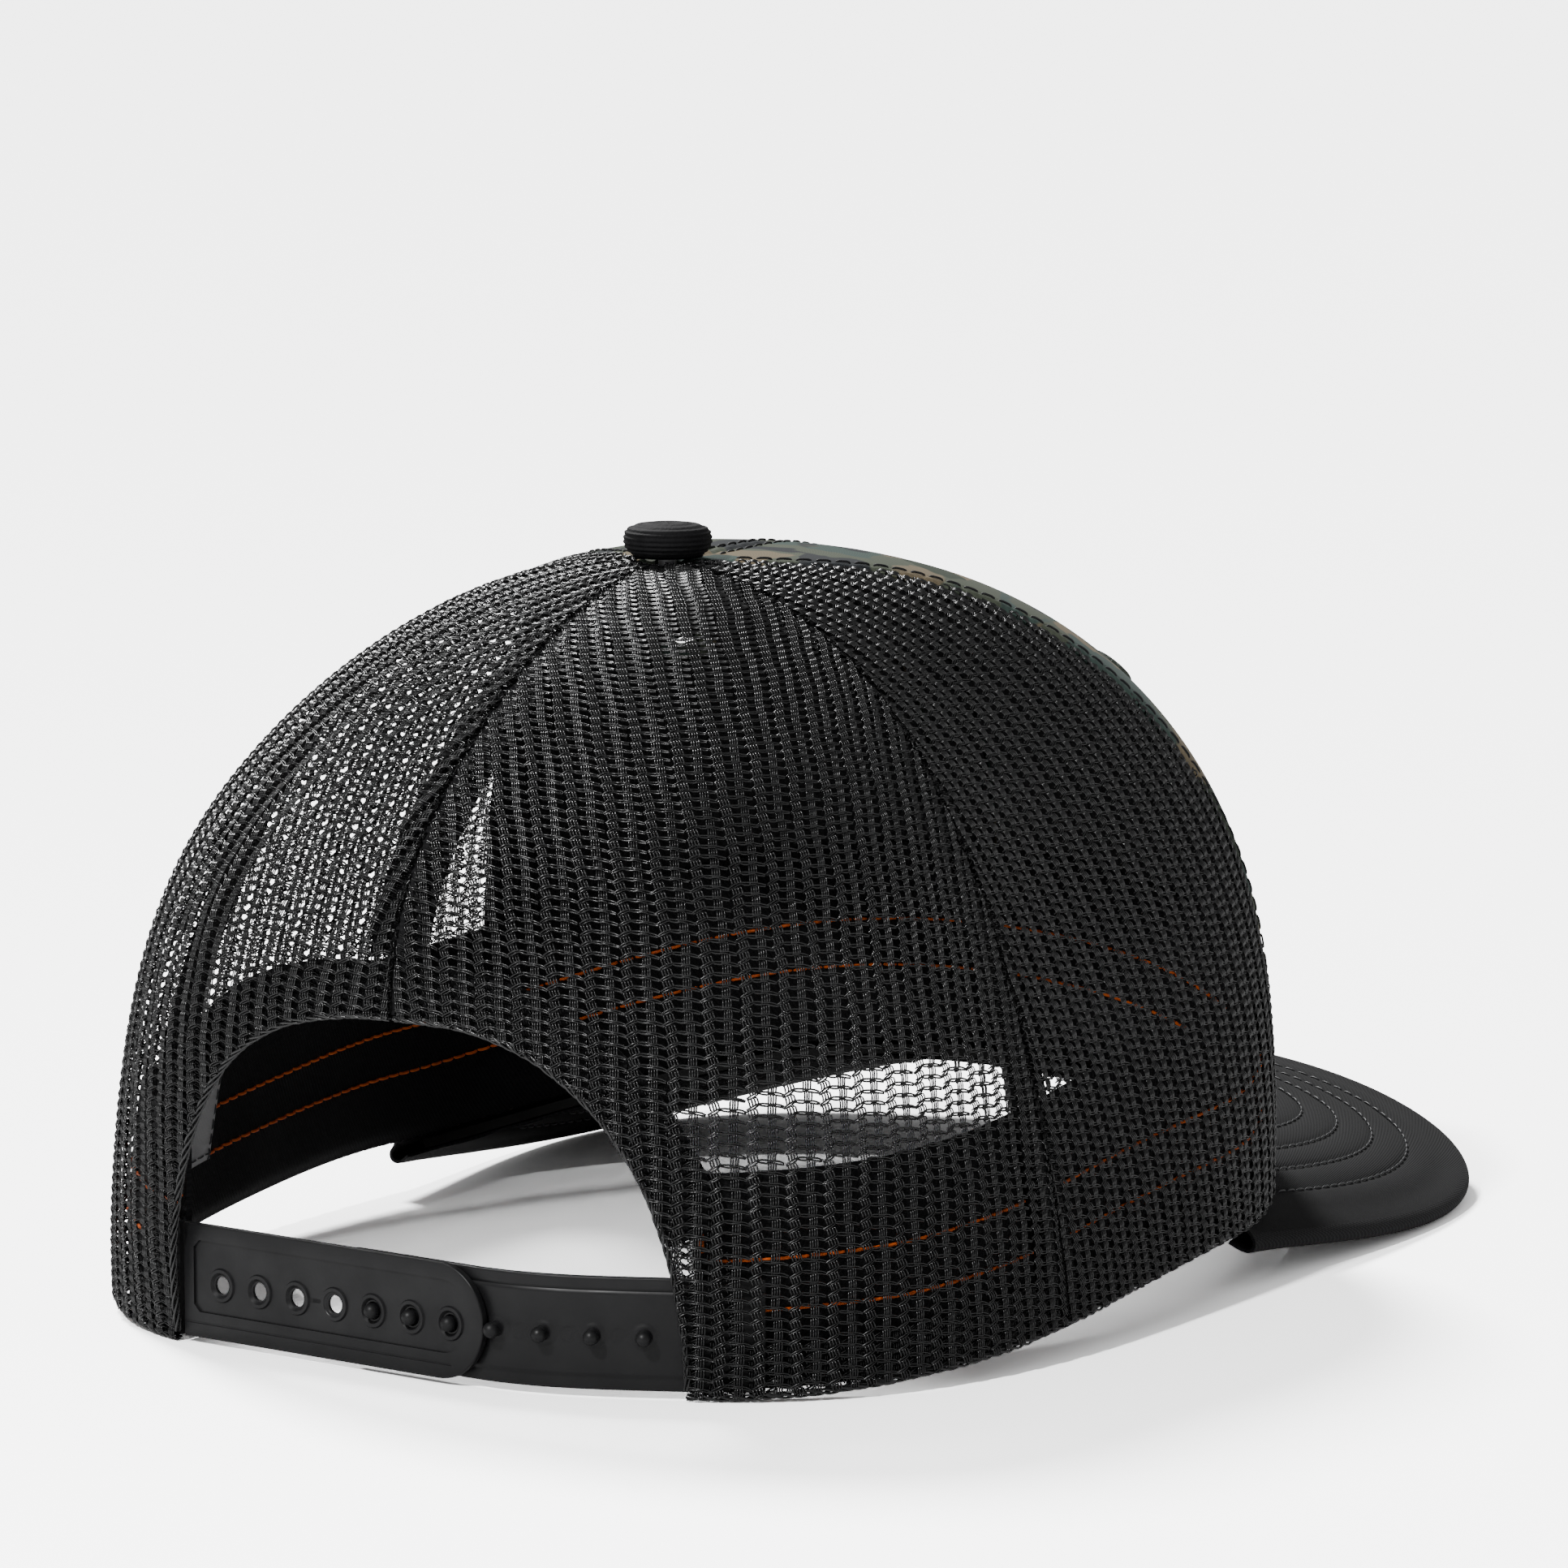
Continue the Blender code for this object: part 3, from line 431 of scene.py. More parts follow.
# The pair of yarns that crosses a repeat: place across, up and out, and half their gap, in mm
CROSS = np.array([(-1.05, -0.42, 0.20, 0.10), (-0.65, -0.24, 0.30, 0.17), (-0.10, 0.02, 0.42, 0.20),
                  (0.45, 0.30, 0.34, 0.17), (0.90, 0.45, 0.12, 0.10), (1.45, 0.36, 0.04, 0.19),
                  (2.15, 0.24, 0.10, 0.21), (2.65, 0.18, 0.26, 0.12), (3.15, 0.12, 0.26, 0.12),
                  (3.65, 0.02, 0.10, 0.18), (4.25, -0.14, 0.04, 0.18), (4.95, -0.42, 0.20, 0.10)])
YARN_MM = 0.155
WALE_WIDE_MM, WALE_THICK_MM, FILAMENTS = 0.150, 0.140, 4
SHIFT_MM = 0.022       # random shift of each yarn
# The two kinds of wale: place across, lean, width, height, lower and upper end, in mm
WALES = ((0.0, -0.30, 1.40, 0.58, 0.30, 1.50), (0.5 * WALE_MM, 0.12, 1.18, 0.32, 0.16, 1.62))


def knit(panel, region, offset, shift):
    """One layer of knit, as yarn meshes; region says which points are inside it."""
    columns = np.arange(-14, 15) * WALE_MM + shift[0]
    courses = np.arange(-2, int(panel.h[-1] / MM / COURSE_MM) + 1) * COURSE_MM + shift[1]
    col, row = (a.ravel() for a in np.meshgrid(columns, courses))
    sway = 0.16 * np.sin(row * 0.31 + col * 0.17) + 0.10 * np.sin(row * 0.83 - col * 0.41)
    lift = 0.14 * np.sin(col * 0.23 + 1.3) + 0.10 * np.sin(col * 0.71 + row * 0.05)
    col, row = col + sway, row + lift
    parts = {"wales": [], "courses": []}

    def lay(kind, s, h, n, wide, thick):
        s = s + RNG.normal(0, SHIFT_MM, s.shape[:1] + (1,))
        h = h + RNG.normal(0, SHIFT_MM, s.shape[:1] + (1,))
        theta, u = panel.find(s * MM, h * MM)
        base = crown(theta, u)
        inside = region(theta, u, base)
        keep = inside[:, 1:] & inside[:, :-1]
        any_in = keep.any(1)
        if not any_in.any():
            return
        theta, u, keep, base, n, s, h = (a[any_in] for a in (theta, u, keep, base, n, s, h))
        out = crown_normal(theta, u)
        path = base + out * (offset + n[..., None] * MM)
        flat = np.stack([s, h], -1) * MM
        parts[kind].append(tubes(path, out, wide * MM, thick * MM, keep, flat))

    for wale, lean, wide, high, bottom, top in WALES:
        for k in range(FILAMENTS):
            across = wide * (k / (FILAMENTS - 1) - 0.5)
            h0 = np.array([bottom, bottom + 0.16, (bottom + top) / 2, top - 0.16, top])
            tight = np.array([0.80, 1.0, 1.0, 1.0, 0.80])
            s0 = across * tight + lean * ((h0 - bottom) / (top - bottom) - 0.5)
            n0 = np.array([-0.10, high * 0.8, high, high * 0.8, -0.10])
            h0 = h0 + 0.10 * across
            s = (col + wale)[:, None] + s0
            h = row[:, None] + h0
            lay("wales", s, h, np.broadcast_to(n0, s.shape), WALE_WIDE_MM, WALE_THICK_MM)
    for side in (-1, 1):
        run = unit(np.gradient(CROSS[:, :2], axis=0))
        s0 = CROSS[:, 0] - side * run[:, 1] * CROSS[:, 3]
        h0 = CROSS[:, 1] + side * run[:, 0] * CROSS[:, 3]
        n0 = CROSS[:, 2] + side * 0.03
        s, h = col[:, None] + s0, row[:, None] + h0
        lay("courses", s, h, np.broadcast_to(n0, s.shape), YARN_MM, YARN_MM)
    return parts


def hem_region(theta, base, wide):
    """True within this distance of the arch or of the lower edge."""
    rise = base[..., 2] - base_height(theta)
    return (rise < arch_rise(theta, wide)) | (rise < wide)


def open_region(theta, base):
    """True outside the arch and above the lower edge."""
    rise = base[..., 2] - base_height(theta)
    return (rise > arch_rise(theta)) & (rise > 0.0)


BODY_TOP = 0.0052      # the knit stops this far from the very top
KNIT_GAP = 0.0004      # and this far from a seam
FOLD = 0.0085          # width of the turned hem
SEAM_FOLD = 0.0042     # width of the allowance turned in at a seam
SECOND_LAYER = -0.0009  # how far under the knit its folded edge lies
SECOND_SHIFT_MM = (2.2, 0.8)
MOST_FACES = 95000     # a piece of knit is split so that none is heavier than this


def mesh_panel(name, left, right):
    """A knitted panel with its hem and seam allowances folded under."""
    panel = Panel(left, right)

    def whole(theta, u, base):
        near_top = np.hypot(base[..., 0], base[..., 1] - CROWN_Y - TOP_BACK) > BODY_TOP
        inside = panel.edge_distance(theta, u, base) > KNIT_GAP
        return inside & near_top & open_region(theta, base)

    def folded(theta, u, base):
        near = panel.edge_distance(theta, u, base) < SEAM_FOLD
        return whole(theta, u, base) & (near | hem_region(theta, base, FOLD))

    outer = knit(panel, whole, 0.0, (0.0, 0.0))
    inner = knit(panel, folded, SECOND_LAYER, SECOND_SHIFT_MM)
    for kind in ("wales", "courses"):
        verts, faces, flat = join(outer[kind] + inner[kind])
        count = len(faces) // MOST_FACES + 1
        for k, some in enumerate(np.array_split(faces, count)):
            part = join([(verts, some, flat)])
            mesh_object("%s_%s_%d" % (name, kind, k + 1), part[0], part[1], knit_mat, name,
                        uv={"OFBake": unit_uv(part[2])})


ROLL_STRANDS, ROLL_TURN, ROLL_RADIUS, ROLL_WIDE = 4, 0.00155, 0.00052, 0.00040
ROLL_SINK, ROLL_STEP = 0.00035, 0.00025


def hem_roll(name, points, normals, node_name):
    """The turned edge of the mesh: thick strands that wind round the fold."""
    down = np.cross(unit(np.gradient(points, axis=0)), normals)
    length = lengths(points)
    at = np.arange(0, length[-1], ROLL_STEP)
    middle, nrm, dwn = (sample(at, length, values) for values in (points, normals, down))
    middle = middle - nrm * ROLL_SINK
    paths, flats = [], []
    for k in range(ROLL_STRANDS):
        turn = at / ROLL_TURN + k * 2 * math.pi / ROLL_STRANDS
        wide = ROLL_WIDE * (1 + 0.25 * np.sin(at / 0.0021 + k))
        paths.append(middle + nrm * (np.cos(turn) * ROLL_RADIUS)[:, None]
                     + dwn * (np.sin(turn) * wide)[:, None])
        flats.append(np.stack([at, np.full_like(at, 0.004 * k)], -1))
    path = np.stack(paths)
    out = path - middle[None]
    v, f, s = tubes(path, out, 0.00024, 0.00020, sides=6, flat=np.stack(flats))
    mesh_object(name, v, f, knit_mat, node_name, uv={"OFBake": unit_uv(s)})


knit_mat = vary("knitted yarn", (0.002, 0.002, 0.0022), (0.006, 0.0063, 0.007), 420.0, 0.19,
                0.95, fine=(2600.0, 0.22, 0.0002), rough_to=0.34)

PANELS = {
    "side_mesh_left": (lambda u: front_seam(u, 1), lambda u: back_seam(u, 1)),
    "side_mesh_right": (lambda u: -back_seam(u, -1), lambda u: -front_seam(u, -1)),
    "back_mesh_left": (lambda u: back_seam(u, 1), lambda u: math.pi + 0 * u),
    "back_mesh_right": (lambda u: -math.pi + 0 * u, lambda u: -back_seam(u, -1)),
}
for name, (left, right) in PANELS.items():
    mesh_panel(name, left, right)


# ---- cloth made as thin closed walls
def slab_mesh(outer, inner, keep=None):
    """Points and faces of a closed wall between two grids; keep picks its faces."""
    rows, cols = outer.shape[:2]
    index = np.arange(rows * cols).reshape(rows, cols)
    if keep is None:
        keep = np.ones((rows - 1, cols - 1), bool)
    a, b, c, d = index[:-1, :-1], index[:-1, 1:], index[1:, 1:], index[1:, :-1]
    top = np.stack([a, b, c, d], -1)[keep]
    faces = [top, top[:, ::-1] + rows * cols]
    pad = np.pad(keep, 1)
    for p, q, i, j in ((a, b, 0, 1), (b, c, 1, 2), (c, d, 2, 1), (d, a, 1, 0)):
        edge = keep & ~pad[i:i + rows - 1, j:j + cols - 1]
        p, q = p[edge], q[edge]
        faces.append(np.stack([q, p, p + rows * cols, q + rows * cols], -1))
    return np.concatenate([outer.reshape(-1, 3), inner.reshape(-1, 3)]), np.concatenate(faces)


def lay_flat(points):
    """Flat coordinates of a grid: across from its middle line, and along."""
    across = np.linalg.norm(np.diff(points, axis=1), axis=-1)
    across = np.concatenate([np.zeros((len(points), 1)), np.cumsum(across, 1)], 1)
    middle = points.shape[1] // 2
    up = lengths(points[:, middle])
    return np.stack([across - across[:, middle:middle + 1],
                     np.broadcast_to(up[:, None], across.shape)], -1)


def cloth_piece(name, outer, inner, mat, node_name, keep=None):
    """A sheet of cloth with its flat coordinates."""
    verts, faces = slab_mesh(outer, inner, keep)
    flat = lay_flat(outer).reshape(-1, 2)
    low, high = flat.min(0), flat.max(0)
    both = np.concatenate([flat, flat])
    bake = both.copy()
    bake[len(bake) // 2:, 0] += high[0] - low[0] + 0.004
    verts, faces, packed = join([(verts, faces, np.concatenate([both, bake], 1))])
    obj = mesh_object(name, verts, faces, mat, node_name,
                      uv={"cloth": packed[:, :2], "OFBake": unit_uv(packed[:, 2:])}, sharp=50)


# Kinds of stitch: length, gap, thread radius, and how many radii it stands out (under if negative)
TOP_STITCH = (0.0026, 0.0007, 0.00019, 0.7)
LINING_STITCH = (0.0024, 0.0007, 0.00014, -0.7)
BAND_STITCH = (0.0024, 0.0005, 0.00027, 1.0)
TACK_STITCH = (0.0052, 0.0010, 0.00022, 1.0)
LABEL_STITCH = (0.0020, 0.0006, 0.00014, 1.0)
BRIM_STITCH = (0.0024, 0.0006, 0.00016, 1.0)
SEWN_AT = 0.0001       # a row's middle stands this far off the cloth


def stitches(line, out, kind, start=0.0):
    """Thread capsules along a line of points, sunk at both ends."""
    length, gap, radius, lift = kind
    reach = lengths(line)
    at = np.arange(start, reach[-1] - length, length + gap)
    t = np.array([0.0, 0.07, 0.25, 0.5, 0.75, 0.93, 1.0])
    spots = at[:, None] + t * length
    path, up = sample(spots, reach, line), unit(sample(spots, reach, out))
    rise = np.array([-1.2, 0.2, 1.0, 1.1, 1.0, 0.2, -1.2]) * lift * radius
    path = path + up * rise[:, None]
    fat = np.array([0.55, 0.95, 1.0, 1.0, 1.0, 0.95, 0.55]) * radius
    fat = np.broadcast_to(fat, path.shape[:2])
    flat = np.stack([spots, np.zeros_like(spots)], -1)
    return tubes(path, up, fat, fat, flat=flat, sides=6)


def thread_piece(name, rows, mat, node_name):
    """One object from several rows of stitches, laid out side by side for baking."""
    parts = []
    for k, (v, f, s) in enumerate(rows):
        parts.append((v, f, s + np.array([0.0, 0.0012 * k])))
    verts, faces, flat = join(parts)
    mesh_object(name, verts, faces, mat, node_name, uv={"OFBake": unit_uv(flat)})


def weave(tree, where, pitch, angle, crossing):
    """Height of a twill: slanting ribs broken up by the crossing yarns."""
    ribs = wave(tree, where, 1 / pitch, angle)
    yarns = wave(tree, where, 1.9 / pitch, angle + 1.25)
    return mix(tree, crossing, ribs, yarns)


def twill(name, dark, light, pitch, angle, rough=0.85, deep=0.00012, drift=45.0, specular=0.25):
    """Woven cloth with ribs this far apart, a little fuzz and a slow drift of tone; its colour is lighter on
    the ribs and darker in the grooves, which is painted shade.
    """
    mat, tree, shader = material(name, dark, rough, specular)
    where = place_on(tree, 1.0, "cloth")
    height = weave(tree, where, pitch, angle, 0.3)
    fuzz = noise(tree, where, 3200.0, 2.0)
    # painted shade: about half of the colour follows the weave's height, lighter on the ribs and darker in
    # the grooves; the slow drift and the fuzz are random tone
    tone = mix(tree, 0.35, height, noise(tree, where, drift, 4.0))
    tone = mix(tree, 0.25, tone, fuzz)
    tree.links.new(ramp(tree, tone, [(0.28, dark), (0.72, light)]), shader.inputs["Base Color"])
    shader.inputs["Sheen Weight"].default_value = 0.03
    shader.inputs["Sheen Roughness"].default_value = 0.45
    bump(tree, shader, mix(tree, 0.25, height, fuzz), 0.8, deep)
    return mat


def camouflage():
    """Blots of four colours with crisp printed edges, over a fine twill, with painted shade in the twill's
    grooves.
    """
    mat, tree, shader = material("printed twill", (0.1, 0.12, 0.1), 0.82, 0.25)
    where = place_on(tree, (1.0, 1.25, 1.0), "cloth")
    bend = node(tree, "TexNoise", Scale=70.0, Detail=3.0)
    tree.links.new(where, bend.inputs["Vector"])
    moved = node(tree, "VectorMath", operation="MULTIPLY_ADD")
    tree.links.new(bend.outputs["Color"], moved.inputs[0])
    moved.inputs[1].default_value = (0.012, 0.012, 0.0)
    tree.links.new(where, moved.inputs[2])
    colour = (0.100, 0.116, 0.082)
    blots = (((0.00, 0.10), 40.0, 0.53, (0.235, 0.190, 0.120)),
             ((0.31, 0.47), 44.0, 0.535, (0.062, 0.098, 0.084)),
             ((0.73, 0.05), 50.0, 0.57, (0.045, 0.062, 0.040)),
             ((0.52, 0.81), 46.0, 0.585, (0.026, 0.030, 0.034)))
    for (dx, dy), scale, edge, paint in blots:
        moved_on = node(tree, "VectorMath", operation="ADD")
        tree.links.new(moved.outputs["Vector"], moved_on.inputs[0])
        moved_on.inputs[1].default_value = (dx, dy, dx - dy)
        blot = noise(tree, moved_on.outputs["Vector"], scale, 2.5, 0.45)
        share = ramp(tree, blot, [(edge - 0.006, (0, 0, 0)), (edge + 0.006, (1, 1, 1))])
        colour = mix(tree, share, colour, paint)
    height = weave(tree, place_on(tree, 1.0, "cloth"), 0.00085, 0.95, 0.35)
    fuzz = noise(tree, where, 2600.0, 2.0)
    # painted shade: the print is darkened to 0.8 where the weave's relief is low, as shade in its grooves;
    # the fuzz mixed in half and half is a random fibre tone
    weave_relief = mix(tree, 0.5, height, fuzz)
    light = ramp(tree, weave_relief, [(0.25, (0.80, 0.80, 0.80)), (0.75, (1.0, 1.0, 1.0))])
    colour = mix(tree, 1.0, colour, light, "MULTIPLY")
    tree.links.new(colour, shader.inputs["Base Color"])
    shader.inputs["Sheen Weight"].default_value = 0.04
    bump(tree, shader, weave_relief, 0.6, 0.00012)
    return mat


camo_mat = camouflage()
brim_mat = twill("charcoal twill", (0.006, 0.006, 0.007), (0.019, 0.019, 0.020), 0.00085, 0.8)
band_mat = twill("sweatband twill", (0.004, 0.004, 0.005), (0.012, 0.012, 0.013), 0.0007, 0.6)
tape_mat = twill("tape twill", (0.004, 0.004, 0.005), (0.012, 0.012, 0.013), 0.0009, 1.57, 0.7)
net_mat = twill("stiff net", (0.008, 0.008, 0.009), (0.020, 0.020, 0.021), 0.0013, 0.0, 0.7)
satin_mat = twill("satin ribbon", (0.42, 0.42, 0.43), (0.60, 0.60, 0.61), 0.00035, 0.0, 0.38,
                  0.00004, 30.0, 0.6)
black_thread = vary("black thread", (0.008, 0.008, 0.009), (0.020, 0.020, 0.022), 900.0, 0.5,
                    0.4, fine=(3500.0, 0.3, 0.0001), rough_to=0.6)
grey_thread = vary("grey thread", (0.055, 0.056, 0.060), (0.085, 0.086, 0.090), 900.0, 0.42,
                   0.5, fine=(3500.0, 0.3, 0.0001), rough_to=0.55)
orange_thread = vary("orange thread", (0.85, 0.125, 0.012), (1.0, 0.19, 0.02), 700.0, 0.45,
                     0.45, fine=(3500.0, 0.3, 0.0001), rough_to=0.6)
green_thread = vary("green thread", (0.045, 0.058, 0.045), (0.075, 0.090, 0.070), 700.0, 0.45,
                    0.45, fine=(3500.0, 0.3, 0.0001), rough_to=0.6)
board_mat = vary("brim board", (0.010, 0.010, 0.010), (0.020, 0.020, 0.019), 60.0, 0.55, 0.4,
                 fine=(900.0, 0.15, 0.0002), rough_to=0.65)


# ---- printed front panels and tapes
def line_on(theta, u, offset):
    """Points and outward directions along a line on the crown."""
    base, out = wall(theta, u)
    return base + out * offset, out


def beside(seam, side, away, u):
    """Angles of a line that keeps its distance from a seam."""
    theta = seam(u)
    p = crown(theta, u)
    r = np.hypot(p[..., 0], p[..., 1] - CROWN_Y)
    return theta + side * away / np.maximum(r, 0.004)


def gore(left, right, rows, cols, gap=0.0002):
    """A grid of angles and shares up across a panel, with a gap at both seams."""
    u = np.broadcast_to(np.linspace(0, PANEL_TOP, rows)[:, None], (rows, cols))
    s = np.linspace(0, 1, cols)
    theta = left(u) + (right(u) - left(u)) * s
    p = crown(theta, u)
    r = np.maximum(np.hypot(p[..., 0], p[..., 1] - CROWN_Y - TOP_BACK), 0.004)
    lo, hi = left(u) + gap / r, right(u) - gap / r
    return lo + (hi - lo) * s, u


def front_panel(word, side):
    """A printed panel that dips and puckers along its seams, with a hole for the eyelet."""
    if side > 0:
        left, right = (lambda u: 0 * u), (lambda u: front_seam(u, 1))
    else:
        left, right = (lambda u: -front_seam(u, -1)), (lambda u: 0 * u)
    theta, u = gore(left, right, 190, 130)
    base = crown(theta, u)
    flat = lay_flat(base)
    s, h = flat[..., 0], flat[..., 1]
    near = np.minimum(s - s[:, :1], s[:, -1:] - s)
    dip = -0.00075 * np.exp(-(near / 0.0009) ** 2) - 0.00014 * np.exp(-((near - 0.0021) / 0.0005) ** 2)
    pucker = 0.00013 * np.sin(h / 0.0007) * np.exp(-(near / 0.0028) ** 2)
    wander = 0.00022 * np.sin(s / 0.011 + 1.1 * side) * np.sin(h / 0.017 + 0.6)
    hem = -0.0007 * np.exp(-(h / 0.0016) ** 2)
    out = crown_normal(theta, u)
    shape = dip + pucker + wander * smooth(near, 0.001, 0.02) + hem
    outer = base + out * (FRONT_HALF + shape)[..., None]
    inner = base + out * (-FRONT_HALF + 0.6 * shape)[..., None]
    eye = crown(np.float64(side * EYELET_ANGLE), EYELET_UP)
    middle = (base[:-1, :-1] + base[1:, 1:]) / 2
    keep = np.linalg.norm(middle - eye, axis=-1) > EYELET_R + 0.0004
    cloth_piece("camo_panel_" + word, outer, inner, camo_mat, "front_panel_" + word,
                keep)


def eyelet_piece(word, side):
    """Satin stitches wound over the edge of the vent hole."""
    theta, count = side * EYELET_ANGLE, 84
    centre = crown(np.float64(theta), EYELET_UP)
    out = crown_normal(theta, EYELET_UP)
    one = unit(np.cross(out, (0, 0, 1.0)))
    two = np.cross(out, one)
    a = np.arange(count) * 2 * math.pi / count
    ray = one * np.cos(a)[:, None] + two * np.sin(a)[:, None]
    profile = np.array([(2.05, -0.5), (1.95, 0.2), (2.1, 0.85), (2.55, 1.22), (3.1, 1.30),
                        (3.65, 1.15), (4.05, 0.8), (4.2, 0.42)]) * MM
    jitter = 1 + RNG.normal(0, 0.012, (count, 1))
    path = (centre + ray[:, None] * (profile[:, 0] * jitter)[..., None]
            + out * profile[:, 1][None, :, None])
    up = np.gradient(path, axis=1)
    up = np.cross(np.cross(ray, out)[:, None], up)
    flat = np.broadcast_arrays(a[:, None] * 0.004, profile[:, 0] + profile[:, 1])
    v, f, s = tubes(path, up, 0.00017, 0.00012, sides=6, flat=np.stack(flat, -1))
    mesh_object("eyelet_thread_" + word, v, f, green_thread, "eyelet_" + word,
                uv={"OFBake": unit_uv(s)})


for word, side in (("left", 1), ("right", -1)):
    front_panel(word, side)
    eyelet_piece(word, side)
    rows = []
    climb = np.linspace(0.012, 0.955, 500)
    seams = ((lambda u: 0 * u, side), (lambda u: side * front_seam(u, side), -side))
    for seam, way in seams:
        rows.append(stitches(*line_on(beside(seam, way, 0.0021, climb), climb, FRONT_HALF),
                             TOP_STITCH))
    thread_piece("topstitch_" + word, rows, black_thread, "front_panel_" + word)


def tape_piece(name, node_name, seam, low, high, half=0.0050, cols=17):
    """A tape sewn over a seam on the inside, with a row of stitches along each edge."""
    u = np.linspace(low, high, 120)[:, None] * np.ones((1, cols))
    s = np.linspace(-1, 1, cols)
    base = crown(seam(u), u)
    r = np.hypot(base[..., 0], base[..., 1] - CROWN_Y - TOP_BACK)
    theta = seam(u) + s * half / r
    base, out = wall(theta, u)
    crownd = 0.00012 * np.cos(s * math.pi / 2)
    outer = base + out * (LINING_OUT + 0 * s)[..., None]
    inner = base + out * (LINING_IN - crownd)[..., None]
    cloth_piece(name, outer, inner, tape_mat, node_name)
    v = u[:, 0]
    rows = [stitches(*line_on(seam(v) + k * 0.72 * half / r[:, 0], v, LINING_IN - SEWN_AT / 2),
                     LINING_STITCH) for k in (-1, 1)]
    thread_piece(name + "_stitches", rows, black_thread, node_name)


def share_at(theta, radius):
    """Share up at which the wall is this close to the middle."""
    u = np.linspace(0.5, 0.999, 800)
    p = crown(theta, u)
    r = np.hypot(p[:, 0], p[:, 1] - CROWN_Y - TOP_BACK)
    return float(np.interp(-radius, -r, u))


for word, side in (("left", 1), ("right", -1)):
    top = share_at(side * 1.0, 0.012)
    tape_piece("front_tape_" + word, "front_seam_tape_" + word,
               lambda u, k=side: k * front_seam(u, k), 0.03, top)
    tape_piece("back_tape_" + word, "back_seam_tape_" + word,
               lambda u, k=side: k * back_seam(u, k), 0.03, top)
tape_piece("centre_front_tape", "center_front_tape", lambda u: 0 * u, 0.03, share_at(0.0, 0.012))
above = float(height_up(math.pi, ARCH_HIGH + 0.010))
tape_piece("centre_back_tape", "center_back_tape", lambda u: math.pi + 0 * u, above,
           share_at(math.pi, 0.012))


# ---- what lies inside: arch tape, stiff nets, sweatband and label
FACING_FROM = 0.0235   # height above the lower edge at which the arch's tape starts
NET_CLEAR, NET_HOLE = 0.0055, 0.0052
BAND_TOP, BAND_ROWS = 0.0350, (0.0130, 0.0212)
LABEL_TURN, LABEL_RISE = (math.pi - 1.310, math.pi - 1.130), (0.0125, 0.0300)


def arch_line(t, grow):
    """Angle and share up along the arch; t runs 0 to pi over the top."""
    c = np.cos(t)
    turn = np.sign(c) * (ARCH_HALF + grow / 0.085) * np.abs(c) ** ARCH_SIDE
    rise = (ARCH_HIGH + grow) * np.sin(t) ** ARCH_CROWN
    theta = math.pi + turn
    return theta, height_up(theta, rise)


def arch_facing():
    """The tape sewn inside round the arch, from just above the strap."""
    start = 0.0
    while arch_rise(math.pi + ARCH_HALF * math.cos(start) ** ARCH_SIDE) < FACING_FROM:
        start += 0.01
    t = np.linspace(start, math.pi - start, 260)
    lines = [arch_line(t, grow) for grow in np.linspace(0.0006, 0.0090, 9)]
    theta, u = (np.stack(x) for x in zip(*lines))
    base, out = wall(theta, u)
    cloth_piece("arch_facing", base + out * LINING_OUT, base + out * LINING_IN, tape_mat,
                "back_opening_tape")
    rows = []
    for grow in (0.0018, 0.0076):
        theta, u = arch_line(t, grow)
        rows.append(stitches(*line_on(theta, u, LINING_IN - SEWN_AT / 2), LINING_STITCH))
    thread_piece("arch_facing_stitches", rows, black_thread, "back_opening_tape")


def stiff_net(word, side):
    """The buckram behind a front panel, kept clear of its seams and of the eyelet."""
    u = np.linspace(0.02, 0.80, 70)[:, None] * np.ones((1, 50))
    r = outline(np.float64(0.3)) * np.cos(u * math.pi / 2) ** 0.9
    lo, hi = NET_CLEAR / r, front_seam(u, side) - NET_CLEAR / r
    theta = side * (lo + (hi - lo) * np.linspace(0, 1, 50))
    base, out = wall(theta, u)
    eye = crown(np.float64(side * EYELET_ANGLE), EYELET_UP)
    keep = np.linalg.norm((base[:-1, :-1] + base[1:, 1:]) / 2 - eye, axis=-1) > NET_HOLE
    outer, inner = base + out * LINING_OUT, base + out * LINING_IN
    if side < 0:
        outer, inner, keep = outer[:, ::-1], inner[:, ::-1], keep[:, ::-1]
    cloth_piece("stiff_net_" + word, outer, inner, net_mat, "front_buckram_" + word, keep)


